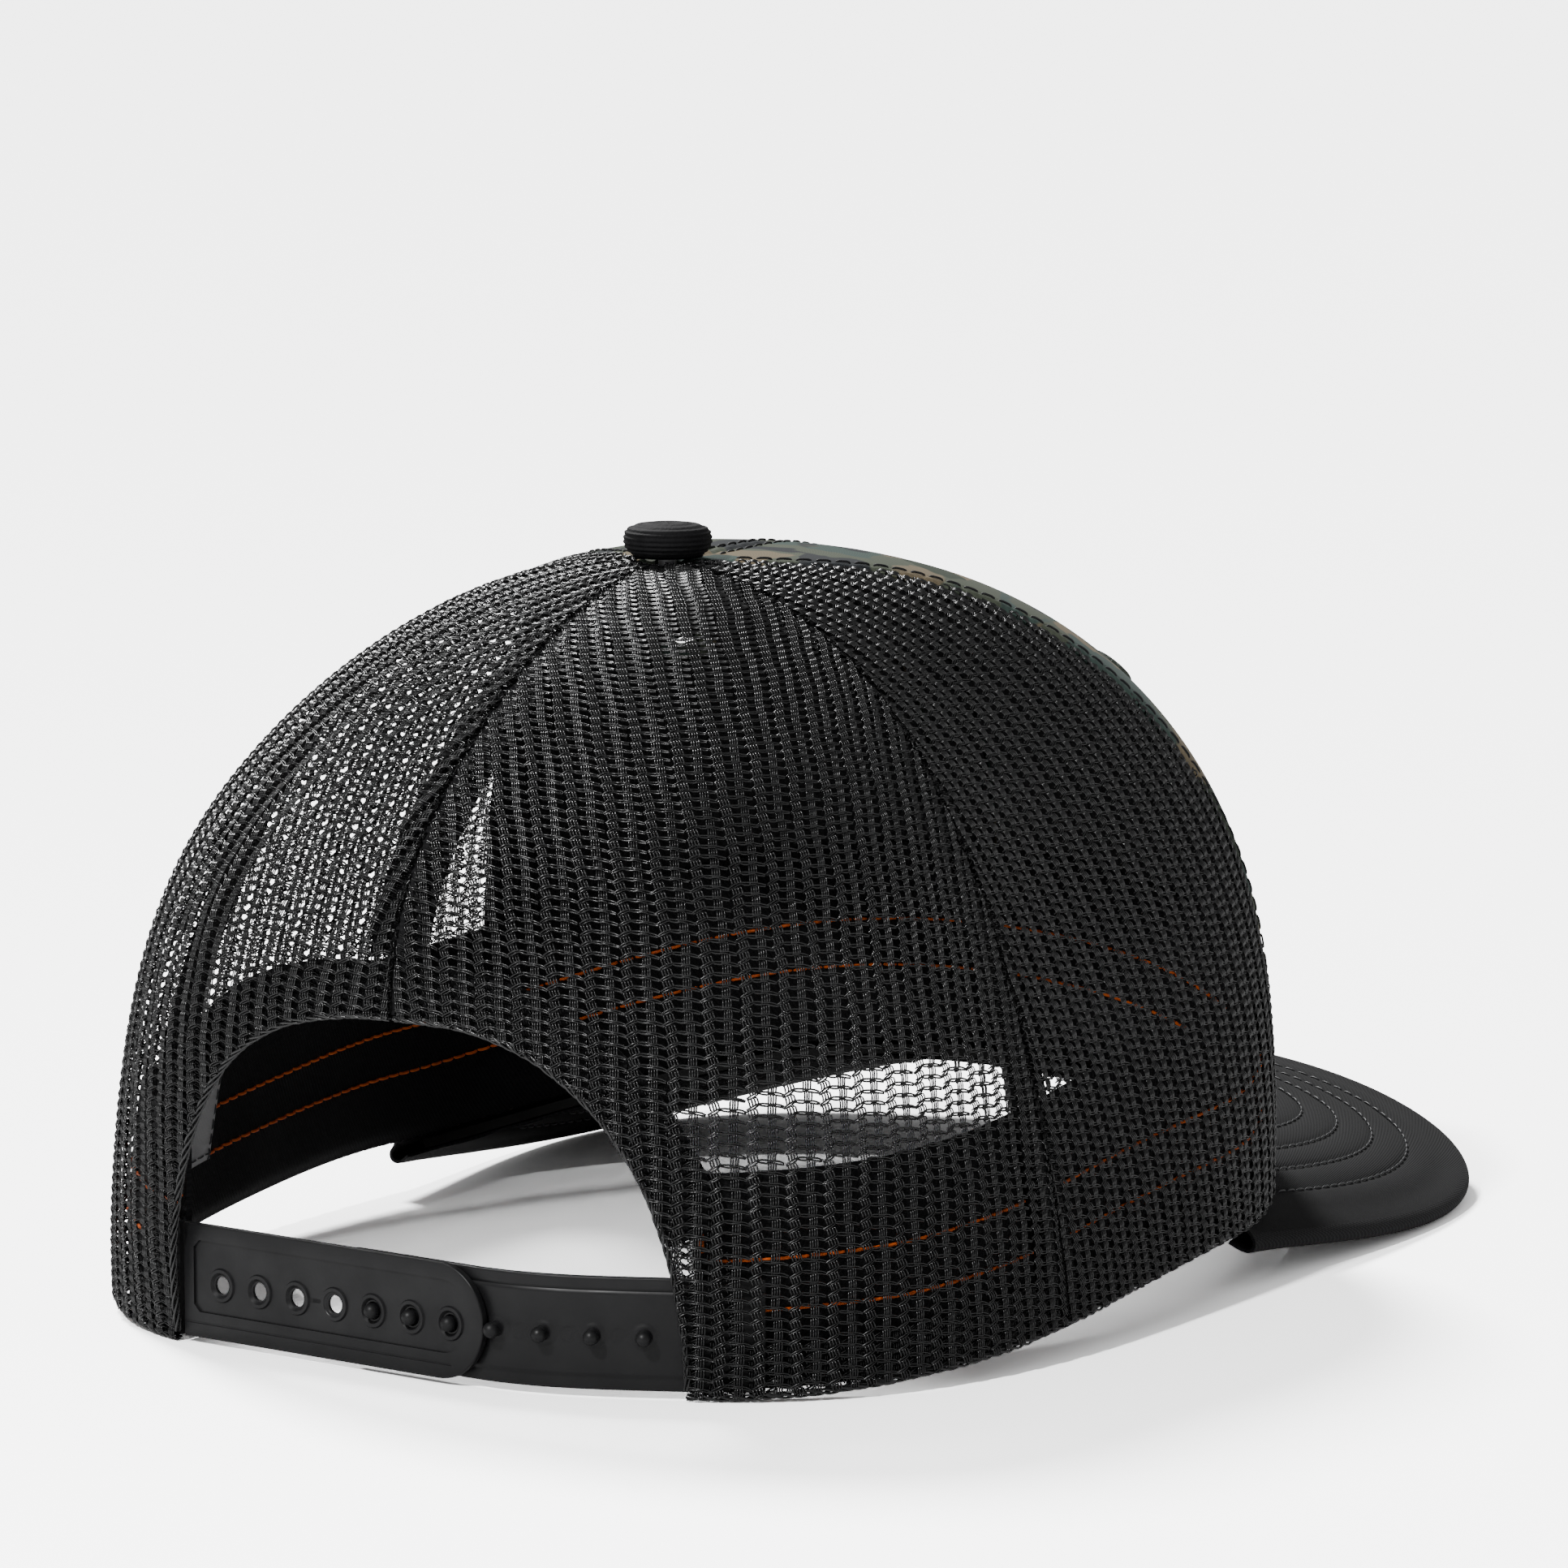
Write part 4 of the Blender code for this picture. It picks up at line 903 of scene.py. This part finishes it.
def sweatband():
    """The band, dipped under the strap ends and turned out along its lower edge."""
    end = math.pi - ARCH_HALF - 0.012
    theta = np.linspace(-end, end, 700)
    turned_up = [0.0003, 0.0009, 0.0016, 0.0024]
    rise = np.concatenate([turned_up, np.linspace(0.0033, BAND_TOP, 25)])
    base, out = wall(theta[None, :], height_up(theta[None, :], rise[:, None]))
    edge = np.minimum(rise - rise[0], rise[-1] - rise)[:, None]
    slope = 0.0006 * np.exp(-(edge / 0.0012) ** 2)
    ripple = 0.00015 * np.sin(theta / 0.045)[None, :] * np.sin(rise * 140)[:, None]
    dip = BAND_DIP * smooth(np.abs(theta), math.pi - 0.95, math.pi - 0.76)
    turn_out = 0.0008 * (1 - smooth(rise, 0.0, 0.0034))[:, None]
    outer = base + out * (BAND_OUT - dip + turn_out - 0.3 * slope + ripple)[..., None]
    inner = base + out * (BAND_IN - dip + turn_out + 0.4 * slope + ripple)[..., None]
    cloth_piece("sweatband_cloth", outer, inner, band_mat, "sweatband")
    rows = []
    for high in BAND_ROWS:
        base, out = wall(theta, height_up(theta, high))
        base = base - out * dip[:, None]
        rows.append(stitches(base + out * (BAND_IN - SEWN_AT), -out, BAND_STITCH))
        rows.append(stitches(base + out * (BAND_OUT + SEWN_AT), out, BAND_STITCH, start=0.0012))
    for side in (-1, 1):
        for k in range(5):
            at = side * (end - 0.014 - 0.004 * k / 4)
            base, out = wall(at, height_up(at, np.linspace(0.0225, 0.0285, 12)))
            base = base - out * BAND_DIP
            for layer, way in ((BAND_IN - 2 * SEWN_AT, -out), (BAND_OUT + 2 * SEWN_AT, out)):
                rows.append(stitches(base + out * layer, way, TACK_STITCH))
    thread_piece("sweatband_stitches", rows, orange_thread, "sweatband")


def label():
    """The blank ribbon label, stitched to the band along three sides."""
    theta, rise = np.linspace(*LABEL_TURN, 60), np.linspace(*LABEL_RISE, 60)
    base, out = wall(theta, height_up(theta[None, :], rise[:, None]))
    puff = np.sin(np.linspace(0, math.pi, 60))[:, None] * np.sin(np.linspace(0, 9, 60))[None, :]
    cloth_piece("label_ribbon", base + out * LABEL_OUT, base + out * (LABEL_IN - 0.0003 * puff)[..., None],
                satin_mat, "size_label")
    edges = ((base[:, 3], out[:, 3]), (base[:, 56], out[:, 56]), (base[4], out[4]))
    rows = [stitches(line + away * (LABEL_IN - SEWN_AT), -away, LABEL_STITCH) for line, away in edges]
    thread_piece("label_stitches", rows, grey_thread, "size_label")


arch_facing()
stiff_net("left", 1)
stiff_net("right", -1)
sweatband()
label()


# ---- brim
def brim_height(x, y, offset):
    """Points this far along the brim's own upward direction."""
    d = 0.0005
    slope_x = (brim_middle(x + d, y) - brim_middle(x - d, y)) / (2 * d)
    slope_y = (brim_middle(x, y + d) - brim_middle(x, y - d)) / (2 * d)
    up = unit(np.stack([-slope_x, -slope_y, np.ones_like(slope_x)], -1))
    place = np.stack([x, CROWN_Y + y, brim_middle(x, y)], -1)
    return place + up * np.asarray(offset)[..., None], up


def brim_edges(cols):
    """Plan positions of the sewn edge and of the outer edge."""
    corner = float(outline(np.float64(BRIM_CORNER)))
    corner_p, corner_q = corner * math.sin(BRIM_CORNER), corner * math.cos(BRIM_CORNER)
    s = np.linspace(-1, 1, cols)
    theta = s * BRIM_CORNER
    r = outline(theta) - BRIM_TUCK
    inner = np.stack([r * np.sin(theta), -r * np.cos(theta)], -1)
    t = s * math.pi / 2
    wide = corner_p * np.abs(np.sin(t)) ** BRIM_SQUARE + BRIM_SIDE_SWELL * np.abs(np.sin(2 * t))
    long = HALF_FRONT + BRIM_LENGTH - corner_q
    q = corner_q + long * np.abs(np.cos(t)) ** BRIM_SQUARE
    return inner, np.stack([np.sign(t) * wide, -q], -1)


def brim_outline(count=1200):
    """The outer edge at even spacing, with outward directions in plan."""
    outer = brim_edges(6001)[1]
    reach = lengths(outer)
    p = sample(np.linspace(0, reach[-1], count), reach, outer)
    run = unit(np.gradient(p, axis=0))
    away = np.stack([run[:, 1], -run[:, 0]], -1)
    if away[count // 2, 1] > 0:
        away = -away
    return p, away


ROW_FIRST, ROW_STEP, ROW_COUNT = 0.0098, 0.0061, 6
BOARD_HALF, BRIM_CORE, BRIM_SKIN = 0.0008, 0.0011, 0.0016   # heights over the brim's middle
rim, rim_out = brim_outline()


def edge_gap(x, y):
    """Distance in plan from the brim's outer edge."""
    flat = np.stack([x.ravel(), y.ravel()], -1)
    best = np.full(len(flat), 9.0)
    for chunk in np.array_split(rim[::3], 20):
        gap = np.linalg.norm(flat[:, None] - chunk[None], axis=-1).min(1)
        best = np.minimum(best, gap)
    return best.reshape(x.shape)


def brim_cloth(name, node_name, above, half_in, half_out, wrap):
    """The cloth on one face of the brim, quilted by its rows; wrap takes it round the edge."""
    cols, rows = 260, 150
    inner_edge, outer_edge = brim_edges(cols)
    w = np.linspace(0, 1, rows)[:, None]
    x, y = (inner_edge[:, k] + (outer_edge[:, k] - inner_edge[:, k]) * w for k in (0, 1))
    gap = edge_gap(x, y)
    groove = sum(np.exp(-((gap - ROW_FIRST - ROW_STEP * k) / 0.0007) ** 2) for k in range(ROW_COUNT))
    quilt = -0.00028 * groove + 0.00010 * np.cos((gap - ROW_FIRST) / ROW_STEP * 2 * math.pi + math.pi)
    quilt = quilt + 0.00007 * np.sin(x / 0.0021 + y / 0.013) * groove
    if above > 0:
        from_seam = w * np.hypot(outer_edge[:, 0] - inner_edge[:, 0], outer_edge[:, 1] - inner_edge[:, 1])
        quilt = quilt + 0.0011 * (1 - smooth(from_seam, 0.0004, 0.0030))
    skin, up = brim_height(x, y, above * (half_out + quilt))
    core, _ = brim_height(x, y, above * (half_in + np.maximum(quilt, 0) * 0.9))
    if wrap:
        tangent = unit(np.gradient(outer_edge, axis=0))
        away = np.stack([tangent[:, 1], -tangent[:, 0]], -1)
        away *= -np.sign(away[cols // 2, 1])
        side = np.concatenate([away, np.zeros((cols, 1))], 1)
        side = unit(side - up[-1] * (side * up[-1]).sum(-1, keepdims=True))
        middle = skin[-1] - up[-1] * (half_out + quilt[-1])[:, None]
        turn = np.linspace(math.pi / 2, -math.pi / 2, 15)[1:, None, None]
        skin, core = (np.concatenate([face, middle + side * np.cos(turn) * radius * 1.05
                                      + up[-1] * np.sin(turn) * radius])
                      for face, radius in ((skin, half_out), (core, half_in)))
    if above < 0:
        skin, core = skin[:, ::-1], core[:, ::-1]
    cloth_piece(name, skin, core, brim_mat, node_name)


def brim_board():
    inner_edge, outer_edge = (e[4:-4] for e in brim_edges(168))
    w = np.linspace(0, 0.997, 60)[:, None]
    x, y = (inner_edge[:, k] + (outer_edge[:, k] - inner_edge[:, k]) * w for k in (0, 1))
    top, low = (brim_height(x, y, offset + 0 * x)[0] for offset in (BOARD_HALF, -BOARD_HALF))
    v, f = slab_mesh(top, low)
    mesh_object("board_sheet", v, f, board_mat, "brim_board", sharp=50)


def brim_rows(name, node_name, above):
    """The nested rows of stitches on one face of the brim."""
    rows = []
    for k in range(ROW_COUNT):
        p = rim - rim_out * (ROW_FIRST + ROW_STEP * k)
        angle = np.arctan2(p[:, 0], -p[:, 1])
        inside = np.hypot(p[:, 0], p[:, 1]) > outline(angle) + 0.0006
        inside &= p[:, 1] < -outline(np.float64(BRIM_CORNER)) * math.cos(BRIM_CORNER) - 0.002
        p = p[inside]
        line, up = brim_height(p[:, 0], p[:, 1], above * np.full(len(p), 0.00135))
        rows.append(stitches(line, up * above, BRIM_STITCH))
    thread_piece(name, rows, grey_thread, node_name)


brim_cloth("brim_cloth_top", "brim_top_cloth", 1, BRIM_CORE, BRIM_SKIN, True)
brim_cloth("brim_cloth_under", "brim_under_cloth", -1, BRIM_CORE, BRIM_SKIN, False)
brim_board()
brim_rows("brim_rows_top", "brim_top_cloth", 1)
brim_rows("brim_rows_under", "brim_under_cloth", -1)


# ---- button and its backing
def turned_piece(name, profile, sides, mat, node_name, sharp=35):
    """A profile of radii and heights turned about the upright line through the top."""
    a = np.arange(sides) * 2 * math.pi / sides
    profile = np.asarray(profile, float)
    ring = np.stack([profile[:, :1] * np.cos(a), profile[:, :1] * np.sin(a),
                     profile[:, 1:] + 0 * a], -1)
    count = len(profile)
    index = np.arange(count * sides).reshape(count, sides)
    nxt = np.roll(index, -1, axis=1)
    faces = np.stack([index[:-1], nxt[:-1], nxt[1:], index[1:]], -1).reshape(-1, 4)
    mesh_object(name, ring + np.asarray(TOP_SPOT), faces[:, ::-1], mat, node_name, sharp=sharp)


TOP_SPOT = (0, CROWN_Y + TOP_BACK, CROWN_TOP)
AXIS_R = 0.00001       # a turned profile starts and ends this close to its axis


def button_cover():
    """A cloth-covered dome with the wound ridges of its cover."""
    profile = [(AXIS_R, BUTTON_LOW), (BUTTON_R * 0.80, BUTTON_LOW)]
    for k, deg in enumerate(np.linspace(-80, 88, 70)):
        a = math.radians(deg)
        ridge = 0.00009 * math.sin(k * 2 * math.pi / 7.0)
        r = BUTTON_R * (0.60 + 0.40 * math.cos(a))
        if deg >= 20:
            r = BUTTON_R * 0.976 * math.cos(math.radians((deg - 20) * 1.32)) ** 0.62
        rise = BUTTON_HIGH * (0.49 + 0.49 * math.sin(a)) + ridge * math.sin(a)
        profile.append((max(r + ridge * math.cos(a), 0.0002), BUTTON_LOW + rise))
    profile.append((AXIS_R, BUTTON_LOW + BUTTON_HIGH))
    mat = vary("button cloth", (0.004, 0.004, 0.005), (0.011, 0.011, 0.012), 500.0, 0.70,
               0.22, fine=(2400.0, 0.6, 0.0002), rough_to=0.75)
    turned_piece("button_cover", profile, 72, mat, "crown_button", 80)


def brushed_steel():
    """Steel with fine turning marks round the disc's middle."""
    mat, tree, shader = material("brushed steel", (0.42, 0.42, 0.43), 0.34, 0.5, 1.0)
    where = place_on(tree, 1.0)
    rings = node(tree, "TexWave", wave_type="RINGS", rings_direction="Z", Scale=900.0, Distortion=1.5)
    centred = node(tree, "VectorMath", operation="SUBTRACT")
    tree.links.new(where, centred.inputs[0])
    centred.inputs[1].default_value = TOP_SPOT
    tree.links.new(centred.outputs["Vector"], rings.inputs["Vector"])
    bump(tree, shader, rings.outputs["Fac"], 0.3, 0.00005)
    gloss = ramp(tree, noise(tree, where, 300.0), [(0.3, (0.28,) * 3), (0.7, (0.45,) * 3)])
    tree.links.new(gloss, shader.inputs["Roughness"])
    return mat


def backing_disc():
    """The metal disc inside, with a ring pressed into it, and the stem up to the button."""
    top = LINING_IN - 0.0003
    low = top - 0.0008
    stem = BUTTON_LOW - 0.0003
    profile = [(AXIS_R, low), (0.0022, low), (0.0026, low + 0.00018), (0.0030, low), (0.0066, low),
               (0.00695, low + 0.0002), (0.0070, low + 0.0005), (0.0069, top), (0.0015, top),
               (0.0015, stem), (AXIS_R, stem)]
    turned_piece("backing_disc", profile, 64, brushed_steel(), "button_backing")


button_cover()
backing_disc()


# ---- snap strap
def moulded_plastic():
    """Black plastic with a fine grain and patches of different gloss."""
    mat, tree, shader = material("moulded plastic", (0.010, 0.010, 0.011), 0.42, 0.42)
    where = place_on(tree, 1.0)
    grain = noise(tree, where, 1500.0, 3.0)
    gloss = ramp(tree, noise(tree, where, 160.0, 5.0), [(0.35, (0.36,) * 3), (0.7, (0.52,) * 3)])
    tree.links.new(gloss, shader.inputs["Roughness"])
    tone = ramp(tree, noise(tree, where, 90.0), [(0.3, (0.008, 0.008, 0.009)), (0.7, (0.014, 0.014, 0.015))])
    tree.links.new(tone, shader.inputs["Base Color"])
    bump(tree, shader, grain, 0.25, 0.00006)
    return mat


plastic = moulded_plastic()
STRAP_MID = (STRAP_LOW + STRAP_HIGH) / 2 - 0.0003   # height of the holes and pegs
PEG_FIRST, PEG_SIDES, MARK_R, EDGE_ROUND = 0.0050, 28, 0.00105, 0.0003
BOSS_R, HOLE_R, EDGE_BEVEL = 0.0029, 0.00145, 0.00032


def tab_path(side):
    """Plan points of a strap's sewn end, from the hem inwards under the mesh."""
    theta = side * (math.pi - ARCH_HALF)
    r = float(outline(np.float64(theta))) * 0.9
    base, out = wall(theta - side * (TAB_LONG * np.arange(7) / 6 + 0.0004) / r, 0.05)
    return (base + out * STRAP_LIFT)[:, :2]


# Plan directions along the outer strap and out of its face, and where it starts
run = np.array([-math.cos(STRAP_BETA), math.sin(STRAP_BETA)])
face_out = np.array([math.sin(STRAP_BETA), math.cos(STRAP_BETA)])
tab_left, tab_right = tab_path(1), tab_path(-1)
strap_start = tab_left[0] + run * 0.0008


def shape_object(name, verts, faces):
    """A working object that later becomes part of a piece or cuts one."""
    mesh = bpy.data.meshes.new(name)
    mesh.from_pydata([tuple(map(float, v)) for v in verts], [], faces)
    obj = bpy.data.objects.new(name, mesh)
    bpy.context.scene.collection.objects.link(obj)
    return obj


def loft(name, low_ring, high_ring, low, high):
    """A solid between two flat rings of as many points; its height is the third axis."""
    n = len(low_ring)
    verts = [(p[0], p[1], low) for p in low_ring] + [(p[0], p[1], high) for p in high_ring]
    faces = [tuple(range(n))[::-1], tuple(range(n, 2 * n))]
    faces += [(k, (k + 1) % n, n + (k + 1) % n, n + k) for k in range(n)]
    return shape_object(name, verts, faces)


def prism(name, ring, low, high):
    return loft(name, ring, ring, low, high)


def disc_ring(x, z, radius, count=40):
    a = np.arange(count) * 2 * math.pi / count
    return np.stack([x + radius * np.cos(a), z + radius * np.sin(a)], -1)


def end_ring(x0, x1, z0, z1, corner=0.0):
    """A plate outline, square at x0 and half round at x1."""
    r = (z1 - z0) / 2
    a = np.linspace(-math.pi / 2, math.pi / 2, 33)
    tip = np.stack([x1 - r + r * np.cos(a), (z0 + z1) / 2 + r * np.sin(a)], -1)
    start = [(x0, z1 - corner), (x0, z0 + corner)]
    if corner:
        start = [(x0 + corner, z1), (x0, z1 - corner), (x0, z0 + corner), (x0 + corner, z0)]
    return np.concatenate([tip, start])


def settle(obj):
    """Turns an object's modifiers into its mesh."""
    settled = bpy.data.meshes.new_from_object(
        obj.evaluated_get(bpy.context.evaluated_depsgraph_get()))
    obj.modifiers.clear()
    obj.data = settled


def carve(obj, tool, operation="DIFFERENCE"):
    """Cuts a tool out of an object, or joins it on, and takes the tool away."""
    made = obj.modifiers.new(operation.lower(), "BOOLEAN")
    made.object, made.operation, made.solver = tool, operation, "EXACT"
    settle(obj)
    bpy.data.objects.remove(tool, do_unlink=True)


def cone_tool(name, x, z, low_radius, high_radius, low, high):
    return loft(name, disc_ring(x, z, low_radius), disc_ring(x, z, high_radius), low, high)


def outer_strap():
    """The half with holes: made flat, x along, y up, z outwards, then stood along its run."""
    half, mid = STRAP_THICK / 2, STRAP_MID
    body = prism("strap", end_ring(0, STRAP_LONG, STRAP_LOW, STRAP_HIGH), -half, half)
    bevel = body.modifiers.new("edges", "BEVEL")
    bevel.width, bevel.segments, bevel.limit_method = EDGE_BEVEL, 3, "ANGLE"
    settle(body)
    field = prism("field", end_ring(0.0022, STRAP_LONG - 0.0026, STRAP_LOW + 0.0042,
                                    STRAP_HIGH - 0.0026, 0.0012), half - 0.00042, half + 0.001)
    carve(body, field)
    start, stop, low, high = -0.001, STRAP_LONG - 0.0065, STRAP_LOW + 0.0023, STRAP_LOW + 0.0027
    groove = [(stop, low), (stop, high), (start, high), (start, low)]
    carve(body, prism("groove", groove, half - 0.00018, half + 0.001))
    for k in range(HOLE_COUNT):
        x = HOLE_FIRST + HOLE_PITCH * k
        boss = cone_tool("boss", x, mid, BOSS_R, BOSS_R - 0.0003, half - 0.0006, half - 0.00008)
        carve(body, boss, "UNION")
        carve(body, cone_tool("sink", x, mid, 0.00168, 0.00225, half - 0.00055, half + 0.0001))
        carve(body, cone_tool("hole", x, mid, HOLE_R, HOLE_R, -half - 0.001, half + 0.001))
        carve(body, cone_tool("ease", x, mid, 0.0021, 0.0014, -half - 0.0002, -half + 0.00035))
    mesh = body.data
    co = np.zeros(len(mesh.vertices) * 3)
    mesh.vertices.foreach_get("co", co)
    co = co.reshape(-1, 3)
    flat = strap_start + co[:, :1] * run + co[:, 2:] * face_out
    mesh.vertices.foreach_set("co", np.column_stack([flat, co[:, 1]]).ravel())
    bpy.data.objects.remove(body, do_unlink=True)
    made = bmesh.new()
    made.from_mesh(mesh)
    bmesh.ops.triangulate(made, faces=[f for f in made.faces if len(f.verts) > 4])
    bmesh.ops.recalc_face_normals(made, faces=made.faces)
    made.to_mesh(mesh)
    made.free()
    mesh.name = "hole_strap"
    mesh.shade_smooth()
    mesh.set_sharp_from_angle(angle=math.radians(28))
    mesh.materials.clear()
    finish_piece("hole_strap", mesh, plastic, "snap_strap_left", "outer_strap")


def bezier_path():
    """Plan path of the peg strap, as in the solid, at even small steps."""
    last = HOLE_FIRST + HOLE_PITCH * (HOLE_COUNT - 1)
    free = strap_start + run * (last - 2 * HOLE_PITCH - 0.0050) - face_out * STRAP_STACK
    bend = strap_start + run * (last + 0.0030) - face_out * STRAP_STACK
    foot, into = tab_right[0], tab_right[1] - tab_right[0]
    into = into / np.linalg.norm(into)
    reach = np.linalg.norm(foot - bend) * 0.36
    t = np.linspace(0, 1, 60)[1:, None]
    b, c = bend + run * reach, foot - into * reach
    curve = (bend * (1 - t) ** 3 + b * 3 * t * (1 - t) ** 2 + c * 3 * t * t * (1 - t) + foot * t ** 3)
    rough = np.concatenate([[free], [bend], curve, tab_right[1:]])
    length = lengths(rough)
    at = np.arange(0, length[-1], 0.0003)
    return sample(at, length, rough), at


def sides_of(path):
    """Directions along a plan path and square to it."""
    along = unit(np.gradient(path, axis=0))
    return along, np.stack([along[:, 1], -along[:, 0]], -1)


def upright(path, side, offset, z):
    """An upright grid of points over a plan path, moved sideways by offset."""
    return np.concatenate([path[None] + side[None] * offset[..., None], z[..., None]], -1)


def inner_strap():
    """The half with pegs: a plate along its path, with rings, bosses and pegs on its face."""
    path, at = bezier_path()
    along, side = sides_of(path)
    side *= np.sign(side[0] @ face_out)
    low, high = STRAP_LOW + 0.0003, STRAP_HIGH - 0.0003
    mid, half = STRAP_MID, STRAP_THICK / 2
    edge = np.array([0, 0.06, 0.14, 0.25]) * MM
    z = np.concatenate([low + edge, np.linspace(low + 0.0004, high - 0.0004, 68), high - edge[::-1]])
    X, Z = np.meshgrid(at, z)
    edge = np.minimum(np.minimum(Z - low, high - Z), X + 0.00005)
    inset = np.clip(edge / EDGE_ROUND, 0, 1)
    round_off = EDGE_ROUND * (1 - np.sqrt(np.clip(1 - (1 - inset) ** 2, 0, 1)))
    height = half - round_off
    height = height - 0.00022 * np.exp(-((Z - high + 0.0022) / 0.00022) ** 2)
    height = height - 0.00030 * smooth(low + 0.0026 - Z, 0, 0.0006)
    for k in range(HOLE_COUNT - 1):
        away = np.hypot(X - PEG_FIRST - HOLE_PITCH * (k + 0.5), Z - mid)
        height = height - 0.00010 * np.exp(-((away - MARK_R) / 0.00013) ** 2)
        height = height - 0.00005 * (away < MARK_R)
    for k in range(HOLE_COUNT):
        away = np.hypot(X - PEG_FIRST - HOLE_PITCH * k, Z - mid)
        height = height + 0.00022 * smooth(-away, -0.0023, -0.0014)
    v, f = slab_mesh(upright(path, side, height, Z), upright(path, side, round_off - half, Z))
    parts = [(v, f, np.zeros((len(v), 2)))]
    a = np.arange(PEG_SIDES) * 2 * math.pi / PEG_SIDES
    head = np.radians(range(-25, 90, 12))
    profile = [(0.00155, -0.0002), (0.00128, 0.00012), (0.00115, 0.0005), (0.00115, 0.0012)]
    profile += [(0.00128 * math.cos(k), 0.00172 + 0.00128 * math.sin(k)) for k in head]
    profile = np.array(profile + [(0.00002, 0.0030)])
    for k in range(HOLE_COUNT):
        i = int(np.argmin(np.abs(at - PEG_FIRST - HOLE_PITCH * k)))
        out = np.array([*side[i], 0])
        one = np.array([*along[i], 0])
        centre = np.array([*(path[i] + side[i] * half), mid])
        ring = (centre + out * profile[:, 1, None, None] + profile[:, 0, None, None]
                * (one * np.cos(a)[:, None] + np.array([0, 0, 1.0]) * np.sin(a)[:, None]))
        index = np.arange(len(profile) * PEG_SIDES).reshape(-1, PEG_SIDES)
        nxt = np.roll(index, -1, axis=1)
        faces = np.stack([index[:-1], index[1:], nxt[1:], nxt[:-1]], -1).reshape(-1, 4)
        parts.append((ring.reshape(-1, 3), faces, np.zeros((ring.size // 3, 2))))
    v, f, _ = join(parts)
    mesh_object("peg_strap", v, f, plastic, "snap_strap_right", sharp=40)


def strap_root():
    """The sewn-in end of the outer half, ribbed on its outer face."""
    path = sample(np.linspace(0, 6, 50), np.arange(7), tab_left)
    side = sides_of(path)[1]
    side *= np.sign(side[0] @ path[0] - side[0] @ np.array([0, CROWN_Y]))
    z = np.linspace(STRAP_LOW, STRAP_HIGH, 40)[:, None] * np.ones(50)
    ribs = 0.00012 * np.cos(z / 0.0008)
    half = STRAP_THICK / 2
    v, f = slab_mesh(upright(path, side, half - 0.00012 + ribs, z),
                     upright(path, side, 0 * ribs - half, z))
    mesh_object("strap_root", v, f, plastic, "snap_strap_left_tab", sharp=40)


outer_strap()
inner_strap()
strap_root()


# ---- turned edges of the mesh, round the arch and along the lower edge
def turned_edges(word, side):
    t = np.linspace(0.015, math.pi - 0.015, 900)
    half = t[450:] if side > 0 else t[:450]
    hem_roll("arch_fold_" + word, *wall(*arch_line(half, 0.0002)), "back_mesh_" + word)
    seam, corner = math.pi - BACK_SEAM[side], math.pi - ARCH_HALF
    for low, high, panel in ((seam, corner, "back"), (FRONT_SEAM[side], seam, "side")):
        theta = side * np.linspace(low, high, 400)
        hem_roll("lower_fold_%s_%s" % (panel, word), *wall(theta, np.full(400, 0.0008)),
                 "%s_mesh_%s" % (panel, word))


turned_edges("left", 1)
turned_edges("right", -1)


# ---- camera, light and floor
def place(name, data, where, target):
    """Puts a camera or a light in the scene, looking at its target."""
    obj = bpy.data.objects.new(name, data)
    obj.location = where
    obj.rotation_euler = (Vector(target) - obj.location).to_track_quat("-Z", "Y").to_euler()
    bpy.context.scene.collection.objects.link(obj)
    return obj


def seen_brighter(tree, plain, seen):
    """A value for ordinary light and a higher one where the backdrop itself is looked at."""
    path = node(tree, "LightPath")
    return mix(tree, path.outputs["Is Camera Ray"], (plain,) * 3, (seen,) * 3)


def lights():
    """A soft key from the far left, which lays the shadow to the right, and a small glint lamp."""
    key = bpy.data.lights.new("key", "SUN")
    key.energy, key.angle = 3.3, math.radians(14)
    place("key", key, (0, 0, 0), (-1.00, 0.70, -1.20))
    glint = bpy.data.lights.new("glint", "AREA")
    glint.shape, glint.size, glint.energy = "DISK", 0.10, 16.0
    place("glint", glint, (0.10, 1.30, 1.20), (0, 0.08, 0.06))


def backdrop():
    """A plain pale floor and world."""
    mesh = bpy.data.meshes.new("floor")
    mesh.from_pydata([(-4, -6, 0), (4, -6, 0), (4, 4, 0), (-4, 4, 0)], [], [(0, 1, 2, 3)])
    mat, tree, shader = material("pale floor", (0.8, 0.8, 0.8), 0.9, 0.0)
    tree.links.new(seen_brighter(tree, 0.8, 4.6), shader.inputs["Base Color"])
    mesh.materials.append(mat)
    floor = bpy.data.objects.new("floor", mesh)
    bpy.context.scene.collection.objects.link(floor)
    world = bpy.data.worlds.new("world")
    world.use_nodes = True
    tree = world.node_tree
    tree.links.new(seen_brighter(tree, 0.26, 10.5), tree.nodes["Background"].inputs[0])
    bpy.context.scene.world = world


camera = bpy.data.cameras.new("camera")
camera.lens, camera.sensor_width = 195.9, 36.0
EYE, AIM = (-0.69716, 1.19891 + CROWN_Y, 0.27719), (-0.01465, -0.00829 + CROWN_Y, 0.08363)
bpy.context.scene.camera = place("camera", camera, EYE, AIM)
lights()
backdrop()
